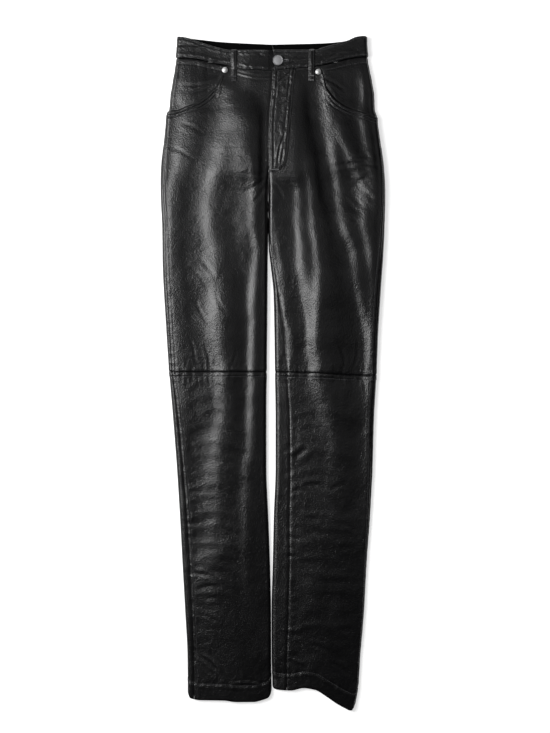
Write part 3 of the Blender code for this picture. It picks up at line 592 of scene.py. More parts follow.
looks = {
    "nappa": dict(colour=(0.0016, 0.0016, 0.0019), worn=(0.0030, 0.0029, 0.0034), gloss=0.31, uneven=0.05,
                  specular=0.5, cells=620.0, creases=150.0, bump=1.0, relief=0.55),
    # The flesh side, on every inner face and on the fly facing, is darkened to near black: painted shade for
    # the inside of the trousers.
    "fleshPaintedShade": dict(colour=(0.0010, 0.0010, 0.0011), worn=(0.0022, 0.0022, 0.0022), gloss=0.90, uneven=0.06,
                  specular=0.06, cells=1500.0, creases=420.0, bump=0.8, relief=0.30),
    "cutEdge": dict(colour=(0.006, 0.006, 0.006), worn=(0.010, 0.010, 0.010), gloss=0.62, uneven=0.08,
                    specular=0.3, cells=1800.0, creases=600.0, bump=0.5, relief=0.15),
}


def wovenMaterial(name, colour, gloss, scale, distortion, bump, relief):
    # Thread or tape: close slanting turns as bump.
    material, nodes, links, shader = newMaterial(name, colour, gloss)
    turns = addTexture(nodes, links, "ShaderNodeTexWave", scale)
    turns.bands_direction = "DIAGONAL"
    turns.inputs["Distortion"].default_value = distortion
    addBump(nodes, links, shader, turns.outputs["Fac"], bump, relief)
    return material


def metalMaterial(name, colour, gloss):
    # Tumbled metal: grey, with cloudy gloss and fine pits.
    material, nodes, links, shader = newMaterial(name, colour, gloss, 1.0)
    cloud = addTexture(nodes, links, "ShaderNodeTexNoise", 420.0)
    cloud.inputs["Detail"].default_value = 5.0
    cloudy = cloud.outputs["Fac"]
    addGloss(nodes, links, shader, cloudy, gloss - 0.10, gloss + 0.14)
    addTone(nodes, links, shader, cloudy, tuple(0.62 * value for value in colour), colour)
    addBump(nodes, links, shader, cloudy, 0.25, 0.05)
    return material


hideGrain = grainGroup()
nappa = leatherMaterial("nappa", hideGrain, looks["nappa"])
fleshPaintedShade = leatherMaterial("fleshSidePaintedShade", hideGrain, looks["fleshPaintedShade"])
cutEdge = leatherMaterial("cutEdge", hideGrain, looks["cutEdge"])
# The thread's dark grey is lighter than the black thread itself: partly its own colour, partly painted
# highlight for the glints along the stitching.
thread = wovenMaterial("thread", (0.055, 0.055, 0.058), 0.36, 900.0, 1.5, 0.5, 0.1)
zipTape = wovenMaterial("zipTape", (0.014, 0.014, 0.016), 0.8, 650.0, 0.0, 0.6, 0.15)
buttonMetal = metalMaterial("buttonMetal", (0.42, 0.42, 0.43), 0.60)
rivetMetal = metalMaterial("rivetMetal", (0.80, 0.80, 0.80), 0.52)
clothSlots = [nappa, fleshPaintedShade, cutEdge]
print("materials made")


# Stitches: every run adds its places here, and one mesh is made of them all at the end.

stitching = dict(length=2.6 * mm, pitch=3.4 * mm, radius=0.42 * mm)
stitchRuns = []


def sampleAt(at, along, values):
    return np.stack([np.interp(at, along, values[:, axis]) for axis in range(3)], axis=-1)


def stitchRun(path, normals):
    # Stitches at even steps along a path on the leather.
    step = np.linalg.norm(np.diff(path, axis=0), axis=1)
    along = np.concatenate([[0], np.cumsum(step)])
    count = int(along[-1] / stitching["pitch"])
    if count < 1:
        return
    at = (np.arange(count) + 0.5) * along[-1] / count
    reach = 0.5 * mm
    heading = sampleAt(at + reach, along, path) - sampleAt(at - reach, along, path)
    stitchRuns.append((sampleAt(at, along, path), heading, sampleAt(at, along, normals)))


def stitchMesh():
    # One stitch is a bead of 4 rings of 5 points, bowed up at its middle; all are placed at once.
    place, ahead, up = (np.concatenate([run[index] for run in stitchRuns]) for index in range(3))
    ahead = ahead / np.maximum(np.linalg.norm(ahead, axis=1, keepdims=True), 1e-9)
    up = up - (up * ahead).sum(axis=1, keepdims=True) * ahead
    up = up / np.maximum(np.linalg.norm(up, axis=1, keepdims=True), 1e-9)
    sideways = np.cross(ahead, up)
    along = np.array([-0.5, -0.3, 0.3, 0.5]) * stitching["length"]
    girth = np.array([0.30, 1.0, 1.0, 0.30]) * stitching["radius"]
    rise = np.array([-0.5, 0.6, 0.6, -0.5]) * stitching["radius"]
    turn = np.arange(5) / 5 * 2 * math.pi
    local = np.stack([np.repeat(along, 5), np.outer(girth, np.cos(turn)).ravel(),
                      np.outer(girth, np.sin(turn)).ravel() + np.repeat(rise, 5)], axis=-1)
    points = (place[:, None, :] + local[None, :, :1] * ahead[:, None, :]
              + local[None, :, 1:2] * sideways[:, None, :] + local[None, :, 2:] * up[:, None, :])
    points[..., 2] = np.maximum(points[..., 2], 0.02 * mm)
    ring = np.arange(5)
    after = (ring + 1) % 5
    walls = [np.stack([ring + 5 * row, after + 5 * row, after + 5 * row + 5, ring + 5 * row + 5], -1)
             for row in range(3)]
    bead = np.concatenate(walls)
    count = len(place)
    quads = (np.arange(count)[:, None, None] * 20 + bead[None]).reshape(-1, 4)
    caps = [list(range(4, -1, -1)), list(range(15, 20))]
    mesh = bpy.data.meshes.new("stitching")
    fives = (np.arange(count)[:, None, None] * 20 + np.array(caps)[None]).reshape(-1, 5)
    mesh.from_pydata(points.reshape(-1, 3).tolist(), [], quads.tolist() + fives.tolist())
    return addPiece("stitching", mesh, [thread])


def lineAcross(points, normals, distance, offset):
    # The path at one distance from an edge, where distance grows along each row of the grid.
    index = np.clip((distance < offset).sum(axis=1), 1, distance.shape[1] - 1)
    row = np.arange(len(points))
    low, high = distance[row, index - 1], distance[row, index]
    part = np.clip((offset - low) / np.maximum(high - low, 1e-9), 0, 1)[:, None]
    place = points[row, index - 1] * (1 - part) + points[row, index] * part
    return place, normals[row, index]


# Leather panels

def gapShare(half, y, share, towards):
    step = 0.004 * towards
    move = tubePoint(half, y, share + step) - tubePoint(half, y, share)
    return step * seamGap / 2 / np.maximum(np.hypot(move[..., 0], move[..., 2]), 1e-6)


def frontStops(half, y):
    s = sectionAt(half, y)
    first = s["inseam"] + gapShare(half, y, s["inseam"], 1) * s["close"]
    last = s["outseam"] + gapShare(half, y, s["outseam"], -1)
    return first, np.maximum(first + 0.03, 0), np.minimum(last - 0.03, 1), last


def backStops(half, y):
    s = sectionAt(half, y)
    first = s["outseam"] + gapShare(half, y, s["outseam"], 1)
    last = s["inseam"] + lap + gapShare(half, y, s["inseam"] + lap, -1) * s["close"]
    return first, 1 + arc + 0 * first, np.minimum(last - 0.03, 2 + arc), last


def panelGrid(stops, half, top, bottom, rows, columns, closer=()):
    # Height and share of each point: rows from the top line to the bottom line, closer by both,
    # columns in even steps from stop to stop, or closer (how many, over which part) beside the fly.
    stretch = np.append(np.repeat(np.arange(len(columns)), columns), len(columns) - 1)
    part = np.append(np.concatenate([np.arange(count) / count for count in columns]), 1.0)
    if len(closer) == 2:
        count = columns[1]
        inStretch = stretch == 1
        part[inStretch] = np.interp(part[inStretch] * count, [0, closer[0], count], [0, closer[1], 1])
    down = np.interp(np.arange(rows + 1) / rows, [0, 0.11, 0.93, 1], [0, 0.038, 0.965, 1])[:, None]
    every = np.arange(len(part))
    y = np.full((rows + 1, len(part)), 0.5 * (top(0.5) + bottom(0.5)))
    y = top(0.5) + (bottom(0.5) - top(0.5)) * down + 0 * y
    for _ in range(6):
        edges = np.array([stop + 0 * y for stop in stops(half, y)])
        share = edges[stretch, :, every].T * (1 - part) + edges[stretch + 1, :, every].T * part
        y = top(share) + (bottom(share) - top(share)) * down
    return y, share


def edgeDistances(points):
    # Distance of each point from the grid's first and last column, and from its first and last row.
    across = np.linalg.norm(np.diff(points, axis=1), axis=-1)
    fromFirst = np.concatenate([np.zeros((len(points), 1)), np.cumsum(across, axis=1)], axis=1)
    slope = np.gradient(points[0, :, 1]) / np.maximum(np.hypot(np.gradient(points[0, :, 0]),
                                                               np.gradient(points[0, :, 2])), 1e-6)
    lean = 1 / np.sqrt(1 + slope ** 2)
    fromTop = (points[:1, :, 1] - points[..., 1]) * lean
    fromBottom = points[..., 1] - points[-1:, :, 1]
    return fromFirst, fromFirst[:, -1:] - fromFirst, fromTop, fromBottom


def seamLift(distance, depth=0.65):
    # The edge rolls down into the seam, with the turned allowance standing up beside it.
    return groove(distance, 0, depth, 1.3) + groove(distance, 5.0, -0.14, 3.4)


def groove(distance, offset, depth=0.28, width=0.9):
    # A hollow along a line, as where stitches pull the leather in; a negative depth stands up.
    return -depth * mm * np.exp(-((distance / mm - offset) / width) ** 2)


def puckers(along, distance, reach, height, pitch, seed):
    # Short ripples square to a seam: noise along it that fades away from it.
    wave = valueNoise(along / mm / pitch, distance / mm / (reach * 1.3), seed)
    fine = valueNoise(along / mm / pitch * 2.3, distance / mm / (reach * 0.6), seed + 1)
    return (wave + 0.45 * fine) * height * mm * np.exp(-(distance / mm / reach) ** 2)


def mottle(x, y, seed):
    # Slow unevenness of soft leather, in metres.
    slow = valueNoise(x / mm / 23, y / mm / 31, seed)
    quick = valueNoise(x / mm / 9 + 5, y / mm / 12, seed + 1)
    fine = valueNoise(x / mm / 5.1 + 9, y / mm / 4.3, seed + 2)
    return (0.30 * slow + 0.14 * quick + 0.05 * fine) * mm


def bandMask(value, low, high, soft):
    return softStep((value - low) / soft + 0.5) * softStep((high - value) / soft + 0.5)


# Arched folds one below the other, and patches of fine wrinkles. A patch gives its place (from, to and how
# softly it ends), the size of a wrinkle, how its run leans, and its height. Millimetres.
arches = {
    "left": dict(middle=-96, top=-10, bottom=-380, step=24, width=48, depth=0.34, seed=3),
    "right": dict(middle=72, top=-60, bottom=-480, step=26, width=56, depth=0.30, seed=5),
}
wrinkles = {
    "left": (
        dict(across=(-142, -92, 24), along=(-450, -170, 60), cell=(34, 6.5), lean=0, height=0.26, seed=61),
        dict(across=(-80, -20, 30), along=(225, 390, 40), cell=(40, 8), lean=0, height=0.12, seed=63),
        dict(across=(-146, -88, 14), along=(105, 215, 40), cell=(22, 9), lean=1, height=0.13, seed=65),
    ),
    "right": (
        dict(across=(118, 178, 20), along=(245, 368, 26), cell=(20, 9), lean=-1, height=0.30, seed=67),
        dict(across=(20, 130, 30), along=(-460, -170, 60), cell=(30, 8), lean=0, height=0.26, seed=69),
    ),
}


def wrinkleHeight(x, y, across, along, cell, lean, height, seed):
    u = (x + lean * y) / cell[0]
    v = (y - lean * x) / cell[1]
    return bandMask(x, *across) * bandMask(y, *along) * valueNoise(u, v, seed) * height * mm


def topLift(half, y, share, point):
    # What raises and creases the upper side, the same for every panel that shows there.
    wrapped = np.where(share > lap + centre, share - lap, share)
    flat = softStep((wrapped + 0.02) / 0.09) * softStep((1.0 - wrapped) / 0.06)
    onTop = softStep((wrapped + 0.14) / 0.1) * softStep((1.14 - wrapped) / 0.1)
    x = point[..., 0]
    lift = foldHeight(half, x, y) * flat + mottle(x, y, 31) * onTop
    overFly = softStep((62 * mm - np.abs(x)) / (30 * mm)) * softStep((y - 0.296) / (40 * mm))
    lift = lift + overFly * np.maximum(-0.25 * mm - lift, 0)
    lift = lift + creaseHeight(creases[half], x, y) * onTop
    lift = lift + archHeight(x, y, **arches[half]) * flat
    for patch in wrinkles[half]:
        lift = lift + wrinkleHeight(x / mm, y / mm, **patch) * flat
    return lift


def backLift(half, y, share, point):
    # Slight hollows of the hidden side, which lies on the surface: never below it.
    under = softStep((share - 1.35) / 0.1) * softStep((2.35 - share) / 0.1)
    x = point[..., 0]
    wave = valueNoise(x / mm / 28, y / mm / 46, 41) + 0.5 * valueNoise(x / mm / 40, y / mm / 9, 43)
    creased = np.minimum(creaseHeight(backCreases[half], x, y), 0)
    return (creased - np.maximum(wave, 0) * 0.7 * mm) * under


def panelLines(half, part, back):
    waist = waistSeam[half] if back else frontTop[half]
    if part == "thigh":
        return (lambda share: lineAt(waist, share) - seamGap / 2,
                lambda share: ringLine(knee[half], share) + seamGap / 2)
    return (lambda share: ringLine(knee[half], share) - seamGap / 2,
            lambda share: ringLine(hem[half], share))


# How far each row of stitches lies from its edge, in millimetres, and the height of the fly's foot.
sewing = dict(mouth=(5.8, 10.8), flyEdge=(1.4, 7.4), flyFront=(2.2, 8.0), outseam=5.0, knee=7.0, hem=27)
flyFoot = 0.333
panels = {
    "frontThigh": dict(rows=250, columns=(14, 84, 12), flat=(0.215, 0.515)),
    "frontShin": dict(rows=250, columns=(12, 74, 10), flat=(0.185, 0.575)),
    "backThigh": dict(rows=190, columns=(16, 44, 22), flat=(0.245, 0.540)),
    "backShin": dict(rows=190, columns=(16, 36, 22), flat=(0.200, 0.575)),
}


def makePanel(kind, half):
    settings = panels[kind]
    back = kind.startswith("back")
    part = "thigh" if kind.endswith("Thigh") else "shin"
    stops = backStops if back else frontStops
    top, bottom = panelLines(half, part, back)
    columns, closer = settings["columns"], ()
    if kind == "frontThigh" and half == "right":
        columns, closer = (columns[0], columns[1] + 20, columns[2]), (46, 0.25)
    y, share = panelGrid(stops, half, top, bottom, settings["rows"], columns, closer)
    base = tubePoint(half, y, share)
    normal = gridNormals(base, half)
    fromFirst, fromLast, fromTop, fromBottom = edgeDistances(base)
    x = base[..., 0]
    lift = topLift(half, y, share, base) + backLift(half, y, share, base)
    below = softStep((0.300 - y) / 0.03)
    turnUp = 0 * y
    fromInseam, fromOutseam = (fromLast, fromFirst) if back else (fromFirst, fromLast)
    lift = lift + seamLift(fromOutseam) + seamLift(fromInseam) * below
    lift = lift + puckers(y, fromInseam, 9, 0.22, 5.5, 71) * below + puckers(y, fromOutseam, 9, 0.22, 5.5, 73)
    if not back:
        lift = lift + groove(fromOutseam, sewing["outseam"])
    if part == "thigh":
        lift = lift + seamLift(fromBottom) + puckers(x, fromBottom, 15, 0.42, 4.6, 75)
        if back:
            lift = lift + seamLift(fromTop) + seamLift(fromLast) * (1 - below)
        else:
            lift = lift + frontHip(half, x, y, fromFirst, fromTop)
    else:
        lift = lift + seamLift(fromTop) + puckers(x, fromTop, 17, 0.42, 4.6, 75)
        lift = lift + groove(fromTop, sewing["knee"], 0.2)
        hemLine = sewing["hem"] * mm
        turnUp = softStep((hemLine - fromBottom) / (1.5 * mm) + 0.5)
        lift = lift + groove(fromBottom, sewing["hem"], 0.5, 1.3) + groove(fromBottom, 23, -0.35, 3)
        lift = lift + puckers(x, np.abs(fromBottom - hemLine), 9, 0.40, 6.0, 77)
        lift = lift + groove(fromBottom, 0, 0.8, 1.2)
    beneath = softStep((share - 1.2) / 0.1) * softStep((2.5 - share) / 0.1)
    lift = np.where(lift > 0, lift * (1 - beneath), lift)
    outer = base + normal * lift[..., None]
    inner = tubePoint(half, y, share, leather * (1 + 0.9 * turnUp)) + normal * lift[..., None]
    outer[..., 2] = np.maximum(outer[..., 2], 0.0)
    inner[..., 2] = np.maximum(inner[..., 2], 0.9 * mm)
    piece = shell(f"{kind}{half.capitalize()}", outer, inner, clothSlots)
    finish(piece, f"{'back' if back else 'front'}_{part}_{half}")
    columnsFirst = (outer.transpose(1, 0, 2), normal.transpose(1, 0, 2))
    upwards = (columnsFirst[0][:, ::-1], columnsFirst[1][:, ::-1])
    if not back:
        stitchRun(*lineAcross(outer[:, ::-1], normal[:, ::-1], fromLast[:, ::-1], sewing["outseam"] * mm))
    if part == "shin":
        stitchRun(*lineAcross(*upwards, fromBottom.T[:, ::-1], sewing["hem"] * mm))
        stitchRun(*lineAcross(*columnsFirst, fromTop.T, sewing["knee"] * mm))
    if part == "thigh" and not back:
        frontHipStitches(half, outer, normal, x, y, fromFirst, fromTop)
    return piece


def flyEdgeX(y):
    rows = np.array(flyStitch, dtype=float)[::-1]
    return smoothCurve(y / mm, rows[:, 0], rows[:, 1]) * mm


def mouthMask(half, x):
    # 1 along the pocket mouth, 0 along the waist seam.
    start = -0.083 if half == "left" else 0.080
    return softStep((x - start) * sideOf[half] / (3 * mm) + 0.5)


def frontHip(half, x, y, fromFirst, fromTop):
    # The pocket mouth's rolled edge, the fly's doubled layer and their stitched hollows.
    near, far = sewing["mouth"]
    mouth = mouthMask(half, x)
    lift = seamLift(fromTop, 0.5) * (1 - mouth)
    rolled = groove(fromTop, 3.2, -0.85, 2.2) + groove(fromTop, 0, 0.35, 0.8)
    between = groove(fromTop, 8.2, -0.40, 1.8)
    stitched = groove(fromTop, near, 0.5, 0.9) + groove(fromTop, far, 0.4, 0.9)
    lift = lift + mouth * (rolled + between + stitched)
    for offset, seed in zip(sewing["mouth"], (79, 80)):
        lift = lift + mouth * puckers(x, np.abs(fromTop - offset * mm), 2.8, 0.30, 2.8, seed)
    above = softStep((y - flyFoot) / (4 * mm) + 0.5)
    if half == "left":
        return lift + groove(fromFirst, 0, 0.55, 3.0) * above
    edge = flyEdgeX(y) - x
    doubled = softStep(edge / (2.4 * mm) + 0.5) * above
    lift = lift + doubled * (0.95 * mm + 0.34 * mm * valueNoise(x / mm / 7.5, y / mm / 9, 81)
                             + 0.18 * mm * valueNoise(x / mm / 3.5, y / mm / 4, 83))
    near, far = sewing["flyEdge"]
    first, second = sewing["flyFront"]
    lift = lift + above * (groove(edge, near, 0.6, 1.0) + groove(edge, far, 0.45, 1.0)
                           + groove(fromFirst, first, 0.45) + groove(fromFirst, second, 0.45))
    for offset, seed in zip(sewing["flyEdge"], (85, 86)):
        lift = lift + above * puckers(y, np.abs(edge - offset * mm), 2.6, 0.30, 2.6, seed)
    for offset, seed in zip(sewing["flyFront"], (87, 88)):
        lift = lift + above * puckers(y, np.abs(fromFirst - offset * mm), 2.4, 0.26, 2.6, seed)
    return lift + groove(fromFirst, 0, 0.7, 0.9) * above


def frontHipStitches(half, outer, normal, x, y, fromFirst, fromTop):
    columnsFirst = (outer.transpose(1, 0, 2), normal.transpose(1, 0, 2))
    onMouth = mouthMask(half, x[0]) > 0.9
    for offset in sewing["mouth"]:
        path, up = lineAcross(*columnsFirst, fromTop.T, offset * mm)
        stitchRun(path[onMouth], up[onMouth])
    if half == "left":
        return
    height = y[:, 0]
    rows = (height > flyFoot + 3 * mm) & (height < 0.497)
    for offset in sewing["flyFront"]:
        path, up = lineAcross(outer, normal, fromFirst, offset * mm)
        stitchRun(path[rows], up[rows])
    rows = (height > flyFoot + 6 * mm) & (height < 0.497)
    for offset in sewing["flyEdge"]:
        path, up = lineAcross(outer, normal, x - flyEdgeX(y), -offset * mm)
        stitchRun(path[rows], up[rows])


def finish(piece, node):
    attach(piece, "root")
    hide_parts(node)


# Waistband, pocket facings, belt loops

band = dict(rows=26, stitchIn=3.2 * mm, edge=1.0 * mm, endShare=-0.12, hole=16 * mm, slit=1.2 * mm,
            eye=2.7 * mm, flat={"left": (0.39, 0.037), "right": (0.35, 0.037)})


def bandStrip(half, share, extra):
    top = lineAt(bandTop[half], share)[None, :]
    bottom = lineAt(waistSeam[half], share)[None, :] + seamGap
    down = np.linspace(0, 1, band["rows"] + 1)[:, None]
    y = top + (bottom - top) * down
    share = share[None, :] + 0 * y
    base = tubePoint(half, y, share, extra - bandProud)
    normal = gridNormals(base, half)
    fromTop, fromBottom = top - y, y - bottom
    x = base[..., 0]
    lift = topLift(half, y, share, base)
    along = (x + share * 0.07) / mm
    for edge, seed in ((fromTop, 91), (fromBottom, 93)):
        lift = lift + groove(edge, 3.2, 0.55, 0.9) + groove(edge, 1.6, -0.30, 1.1)
        lift = lift + puckers(along * mm, np.abs(edge - 3.2 * mm), 3.6, 0.42, 2.6, seed)
        lift = lift + groove(edge, 6.0, -0.35, 2.2)
    lift = lift + 0.20 * mm * valueNoise(along / 17, y / mm / 3.4, 97) * bandMask(fromTop / mm, 5, 32, 4)
    if half == "left":
        near = np.minimum(fromTop, fromBottom) / mm
        pulled = bandMask(x / mm, -62, -2, 18) * np.exp(-((near - 5.5) / 3.2) ** 2)
        lift = lift + pulled * 0.42 * mm * valueNoise(x / mm / 3.0 + y / mm / 3.4, y / mm / 5, 95)
    beneath = softStep((share - 1.2) / 0.1) * softStep((2.5 - share) / 0.1)
    lift = np.where(lift > 0, lift * (1 - beneath), lift)
    rolled = 0.95 * mm * (np.exp(-(fromTop / band["edge"]) ** 2) + np.exp(-(fromBottom / band["edge"]) ** 2))
    outer = base + normal * (lift - rolled)[..., None]
    inner = tubePoint(half, y, share, extra - bandProud + bandWall) + normal * (lift + rolled)[..., None]
    return outer, inner, normal, fromTop, fromBottom


def roundHalf():
    return np.concatenate([np.linspace(0, 1, 85), 1 + arc * np.linspace(0, 1, 15)[1:],
                           1 + arc + np.linspace(0, 1, 56)[1:], np.linspace(2 + arc, lap + centre, 7)[1:]])


def makeWaistband(half):
    if half == "right":
        share = np.concatenate([np.linspace(band["endShare"], 0, 6)[:-1], roundHalf()])
        outer, inner, normal, fromTop, fromBottom = bandStrip("right", share, 0.0)
    else:
        beneath = bandStrip("right", np.linspace(0.19, band["endShare"], 16), bandWall + layerGap)
        shown = bandStrip("left", roundHalf(), 0.0)
        outer, inner = (np.concatenate([beneath[index], shown[index]], axis=1) for index in (0, 1))
        normal, fromTop, fromBottom = shown[2:]
    piece = shell(f"waistband{half.capitalize()}", outer, inner, clothSlots)
    if half == "right":
        cutButtonhole(piece)
    finish(piece, f"waistband_{half}")
    shownOuter = outer if half == "right" else shown[0]
    for distance in (fromTop, fromBottom[::-1]):
        ahead = distance is fromTop
        rows = slice(None) if ahead else slice(None, None, -1)
        path = shownOuter[rows].transpose(1, 0, 2)
        stitchRun(*lineAcross(path, normal[rows].transpose(1, 0, 2), distance.T, band["stitchIn"]))
    if half == "right":
        fromEnd = np.concatenate([[0], np.cumsum(np.abs(np.diff(outer[8, :, 0])))])[None, :] + 0 * fromTop
        path, up = lineAcross(outer, normal, fromEnd, band["stitchIn"])
        stitchRun(path[3:-3], up[3:-3])
    return piece


def cutButtonhole(piece):
    # The eye and the slit go right through the band.
    low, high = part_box("button")
    x, y, z = (0.5 * (low[axis] + high[axis]) for axis in range(3))
    bpy.ops.mesh.primitive_cylinder_add(vertices=24, radius=band["eye"], depth=14 * mm, location=(x, y, z))
    cutters = [bpy.context.object]
    bpy.ops.mesh.primitive_cube_add(size=1, location=(x + band["hole"] / 2, y, z),
                                    scale=(band["hole"], band["slit"], 14 * mm))
    cutters.append(bpy.context.object)
    for cutter in cutters:
        cut = piece.modifiers.new("buttonhole", "BOOLEAN")
        cut.operation = "DIFFERENCE"
        cut.solver = "EXACT"
        cut.object = cutter
    bpy.context.view_layer.update()
    cutMesh = bpy.data.meshes.new_from_object(piece.evaluated_get(bpy.context.evaluated_depsgraph_get()))
    piece.modifiers.clear()
    piece.data = cutMesh
    for cutter in cutters:
        bpy.data.objects.remove(cutter, do_unlink=True)


def makeFacing(half):
    # The pocket bearer one layer below the front, from the waist seam to just under the mouth.
    depth = leather + layerGap
    share = np.linspace(0.43, 1.16, 72)
    waist = lineAt(waistSeam[half], share) - seamGap
    foot = lineAt(frontTop[half], share) - 14 * mm
    down = np.linspace(0, 1, 60)[:, None]
    y = waist + (foot - waist) * down
    share = share[None, :] + 0 * y
    base = tubePoint(half, y, share, depth)
    normal = gridNormals(base, half)
    x = base[..., 0]
    mouth = lineAt(frontTop[half], share)
    lift = topLift(half, y, share, base)
    streaks = 0.9 * valueNoise(x / mm / 9, y / mm / 70, 101) + 0.4 * valueNoise(x / mm / 4, y / mm / 40, 103)
    lift = lift + streaks * 0.16 * mm + groove(waist - y, 0.0, 0.5, 1.4) + groove(waist - y, 9.0, 0.45, 1.1)
    lift = lift + puckers(x, np.abs(waist - y - 9 * mm), 4, 0.3, 3.2, 105)
    under = softStep((mouth + 2 * mm - y) / (6 * mm))
    lift = np.minimum(lift, topLift(half, y, share, base)) * under + lift * (1 - under) - 0.5 * mm * under
    outer = base + normal * lift[..., None]
    inner = tubePoint(half, y, share, depth + leather) + normal * lift[..., None]
    shownPart = slice(0, 62) if half == "left" else slice(4, 62)
    path, up = lineAcross(outer.transpose(1, 0, 2), normal.transpose(1, 0, 2), (waist - y).T, 9.0 * mm)
    stitchRun(path[shownPart], up[shownPart])
    piece = shell(f"pocketFacing{half.capitalize()}", outer, inner, clothSlots)
    finish(piece, f"pocket_facing_{half}")
    return piece


beltLoops = {
    "Front_left": dict(half="left", top=0.534, middle=-0.0643, behind=False),
    "Front_right": dict(half="right", top=0.534, middle=0.0638, behind=False),
    "Back_left": dict(half="left", top=0.546, middle=-0.0850, behind=True),
    "Back_right": dict(half="right", top=0.546, middle=0.0850, behind=True),
    "Back_centre": dict(half="left", top=0.5435, middle=-0.0095, behind=True),
}
loopSize = dict(width=10 * mm, length=53 * mm, bulge=0.7 * mm, rows=60, columns=16, stitchIn=1.7 * mm,
                tab=8 * mm, flat=(0.010, 0.060))


def makeLoop(name, half, top, middle, behind):
    down = np.linspace(0, 1, loopSize["rows"] + 1)[:, None]
    y = top - loopSize["length"] * down
    acrossLoop = np.linspace(-0.5, 0.5, loopSize["columns"] + 1)[None, :]
    turnedOver = (half == "left") != behind
    x = middle + loopSize["width"] * acrossLoop * (-1 if turnedOver else 1) + 0 * y
    s = sectionAt(half, y)
    share = shareAt(half, y, x)
    if behind:
        inner = s["xIn"] + sideOf[half] * innerFold
        outer = s["xOut"] - sideOf[half] * s["fold"] / 2
        share = 2 + arc - (x - inner) / (outer - inner)
    seam = lineAt(waistSeam[half], share)
    onBand = np.clip((y - seam) / (4 * mm) + 1, 0, 1)
    swell = 0 if behind else loopSize["bulge"] * np.sin(np.clip((y - seam) / (top - seam), 0, 1) * math.pi)
    stand = layerGap + bandProud * softStep(onBand) + swell
    base = tubePoint(half, y, share, -stand - loopWall)
    normal = gridNormals(base, half)
    fromSide = np.minimum(x.max(axis=1, keepdims=True) - x, x - x.min(axis=1, keepdims=True))
    fromTop, fromFoot = top - y, y - (top - loopSize["length"])
    lift = groove(fromSide, 2.0, 0.35, 0.6) + groove(fromSide, 5, -0.25, 1.6)
    lift = lift + groove(fromSide, 0, 0.85, 0.8)
    lift = lift + groove(fromTop, 0, 0.85, 0.9) + groove(fromFoot, 0, 0.85, 0.9)
    lift = lift + groove(fromFoot, 8, 0.5, 1.2) + puckers(y, fromSide, 4, 0.16, 4, 111)
    ride = 0 * y if behind else topLift(half, y, share, base)
    outerPoints = base + normal * (ride + (np.minimum(lift, 0) if behind else lift))[..., None]
    innerPoints = tubePoint(half, y, share, -stand) + normal * ride[..., None]
    outerPoints[..., 2] = np.maximum(outerPoints[..., 2], 0.0)
    piece = shell(f"beltLoop{name.replace('_', '').replace('left', 'Left').replace('right', 'Right')}",
                  outerPoints, innerPoints, clothSlots)
    finish(piece, f"belt_loop_{name.lower()}")
    for rows in (slice(None), slice(None, None, -1)):
        steps = np.abs(np.diff(x[:, rows], axis=1))
        distance = np.concatenate([np.zeros((len(y), 1)), np.cumsum(steps, axis=1)], axis=1)
        stitchRun(*lineAcross(outerPoints[:, rows], normal[:, rows], distance, loopSize["stitchIn"]))
    if not behind:
        for level in (1.0 * mm, loopSize["tab"]):
            row = int((1 - level / loopSize["length"]) * loopSize["rows"])
            barTack(outerPoints[row, 2], outerPoints[row, -3], normal[row, 5])
        row = 2
        barTack(outerPoints[row, 2], outerPoints[row, -3], normal[row, 5])
    return piece


def barTack(start, end, up):
    # A close bar of short stitches across.
    count = 16
    part = np.linspace(0, 1, count)[:, None]
    place = start + (end - start) * part
    ahead = np.cross(up, end - start)
    heading = np.repeat(ahead[None], count, 0)
    stitchRuns.append((place + up * 0.1 * mm, heading, np.repeat(up[None], count, 0)))


def buttonholeStitches():
    # Overcast thread on both sides of the slit, and round its end.
    low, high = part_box("button")
    x, y = 0.5 * (low[0] + high[0]), 0.5 * (low[1] + high[1])
    along = np.arange(x + 5 * mm, x + band["hole"], 0.5 * mm)
    turn = np.linspace(-math.pi / 2, math.pi / 2, 9)
    px = np.concatenate([along, x + band["hole"] + 1.5 * mm * np.cos(turn), along[::-1]])
    py = np.concatenate([0 * along - 1.5 * mm, 1.5 * mm * np.sin(turn), 0 * along + 1.5 * mm]) + y
    outward = np.concatenate([np.tile([0, -1.0], (len(along), 1)), np.stack([np.cos(turn), np.sin(turn)], -1),
                              np.tile([0, 1.0], (len(along), 1))])
    share = shareAt("right", py, px)
    place = tubePoint("right", py, share, -bandProud)
    place[:, 2] += topLift("right", py, share, place) + 0.15 * mm
    ahead = np.concatenate([outward, np.zeros((len(px), 1))], axis=1)
    stitchRuns.append((place, ahead, np.tile([0, 0, 1.0], (len(px), 1))))


def flyTack():
    # The bar tack across the foot of the fly.
    x = np.linspace(-2 * mm, 9 * mm, 18)
    y = np.full(18, 0.335)
    place = tubePoint("right", y, shareAt("right", y, x))
    place[:, 2] += topLift("right", y, shareAt("right", y, x), place) + 0.7 * mm
    stitchRuns.append((place, np.tile([0, 1.0, 0], (18, 1)), np.tile([0, 0, 1.0], (18, 1))))


# Hardware

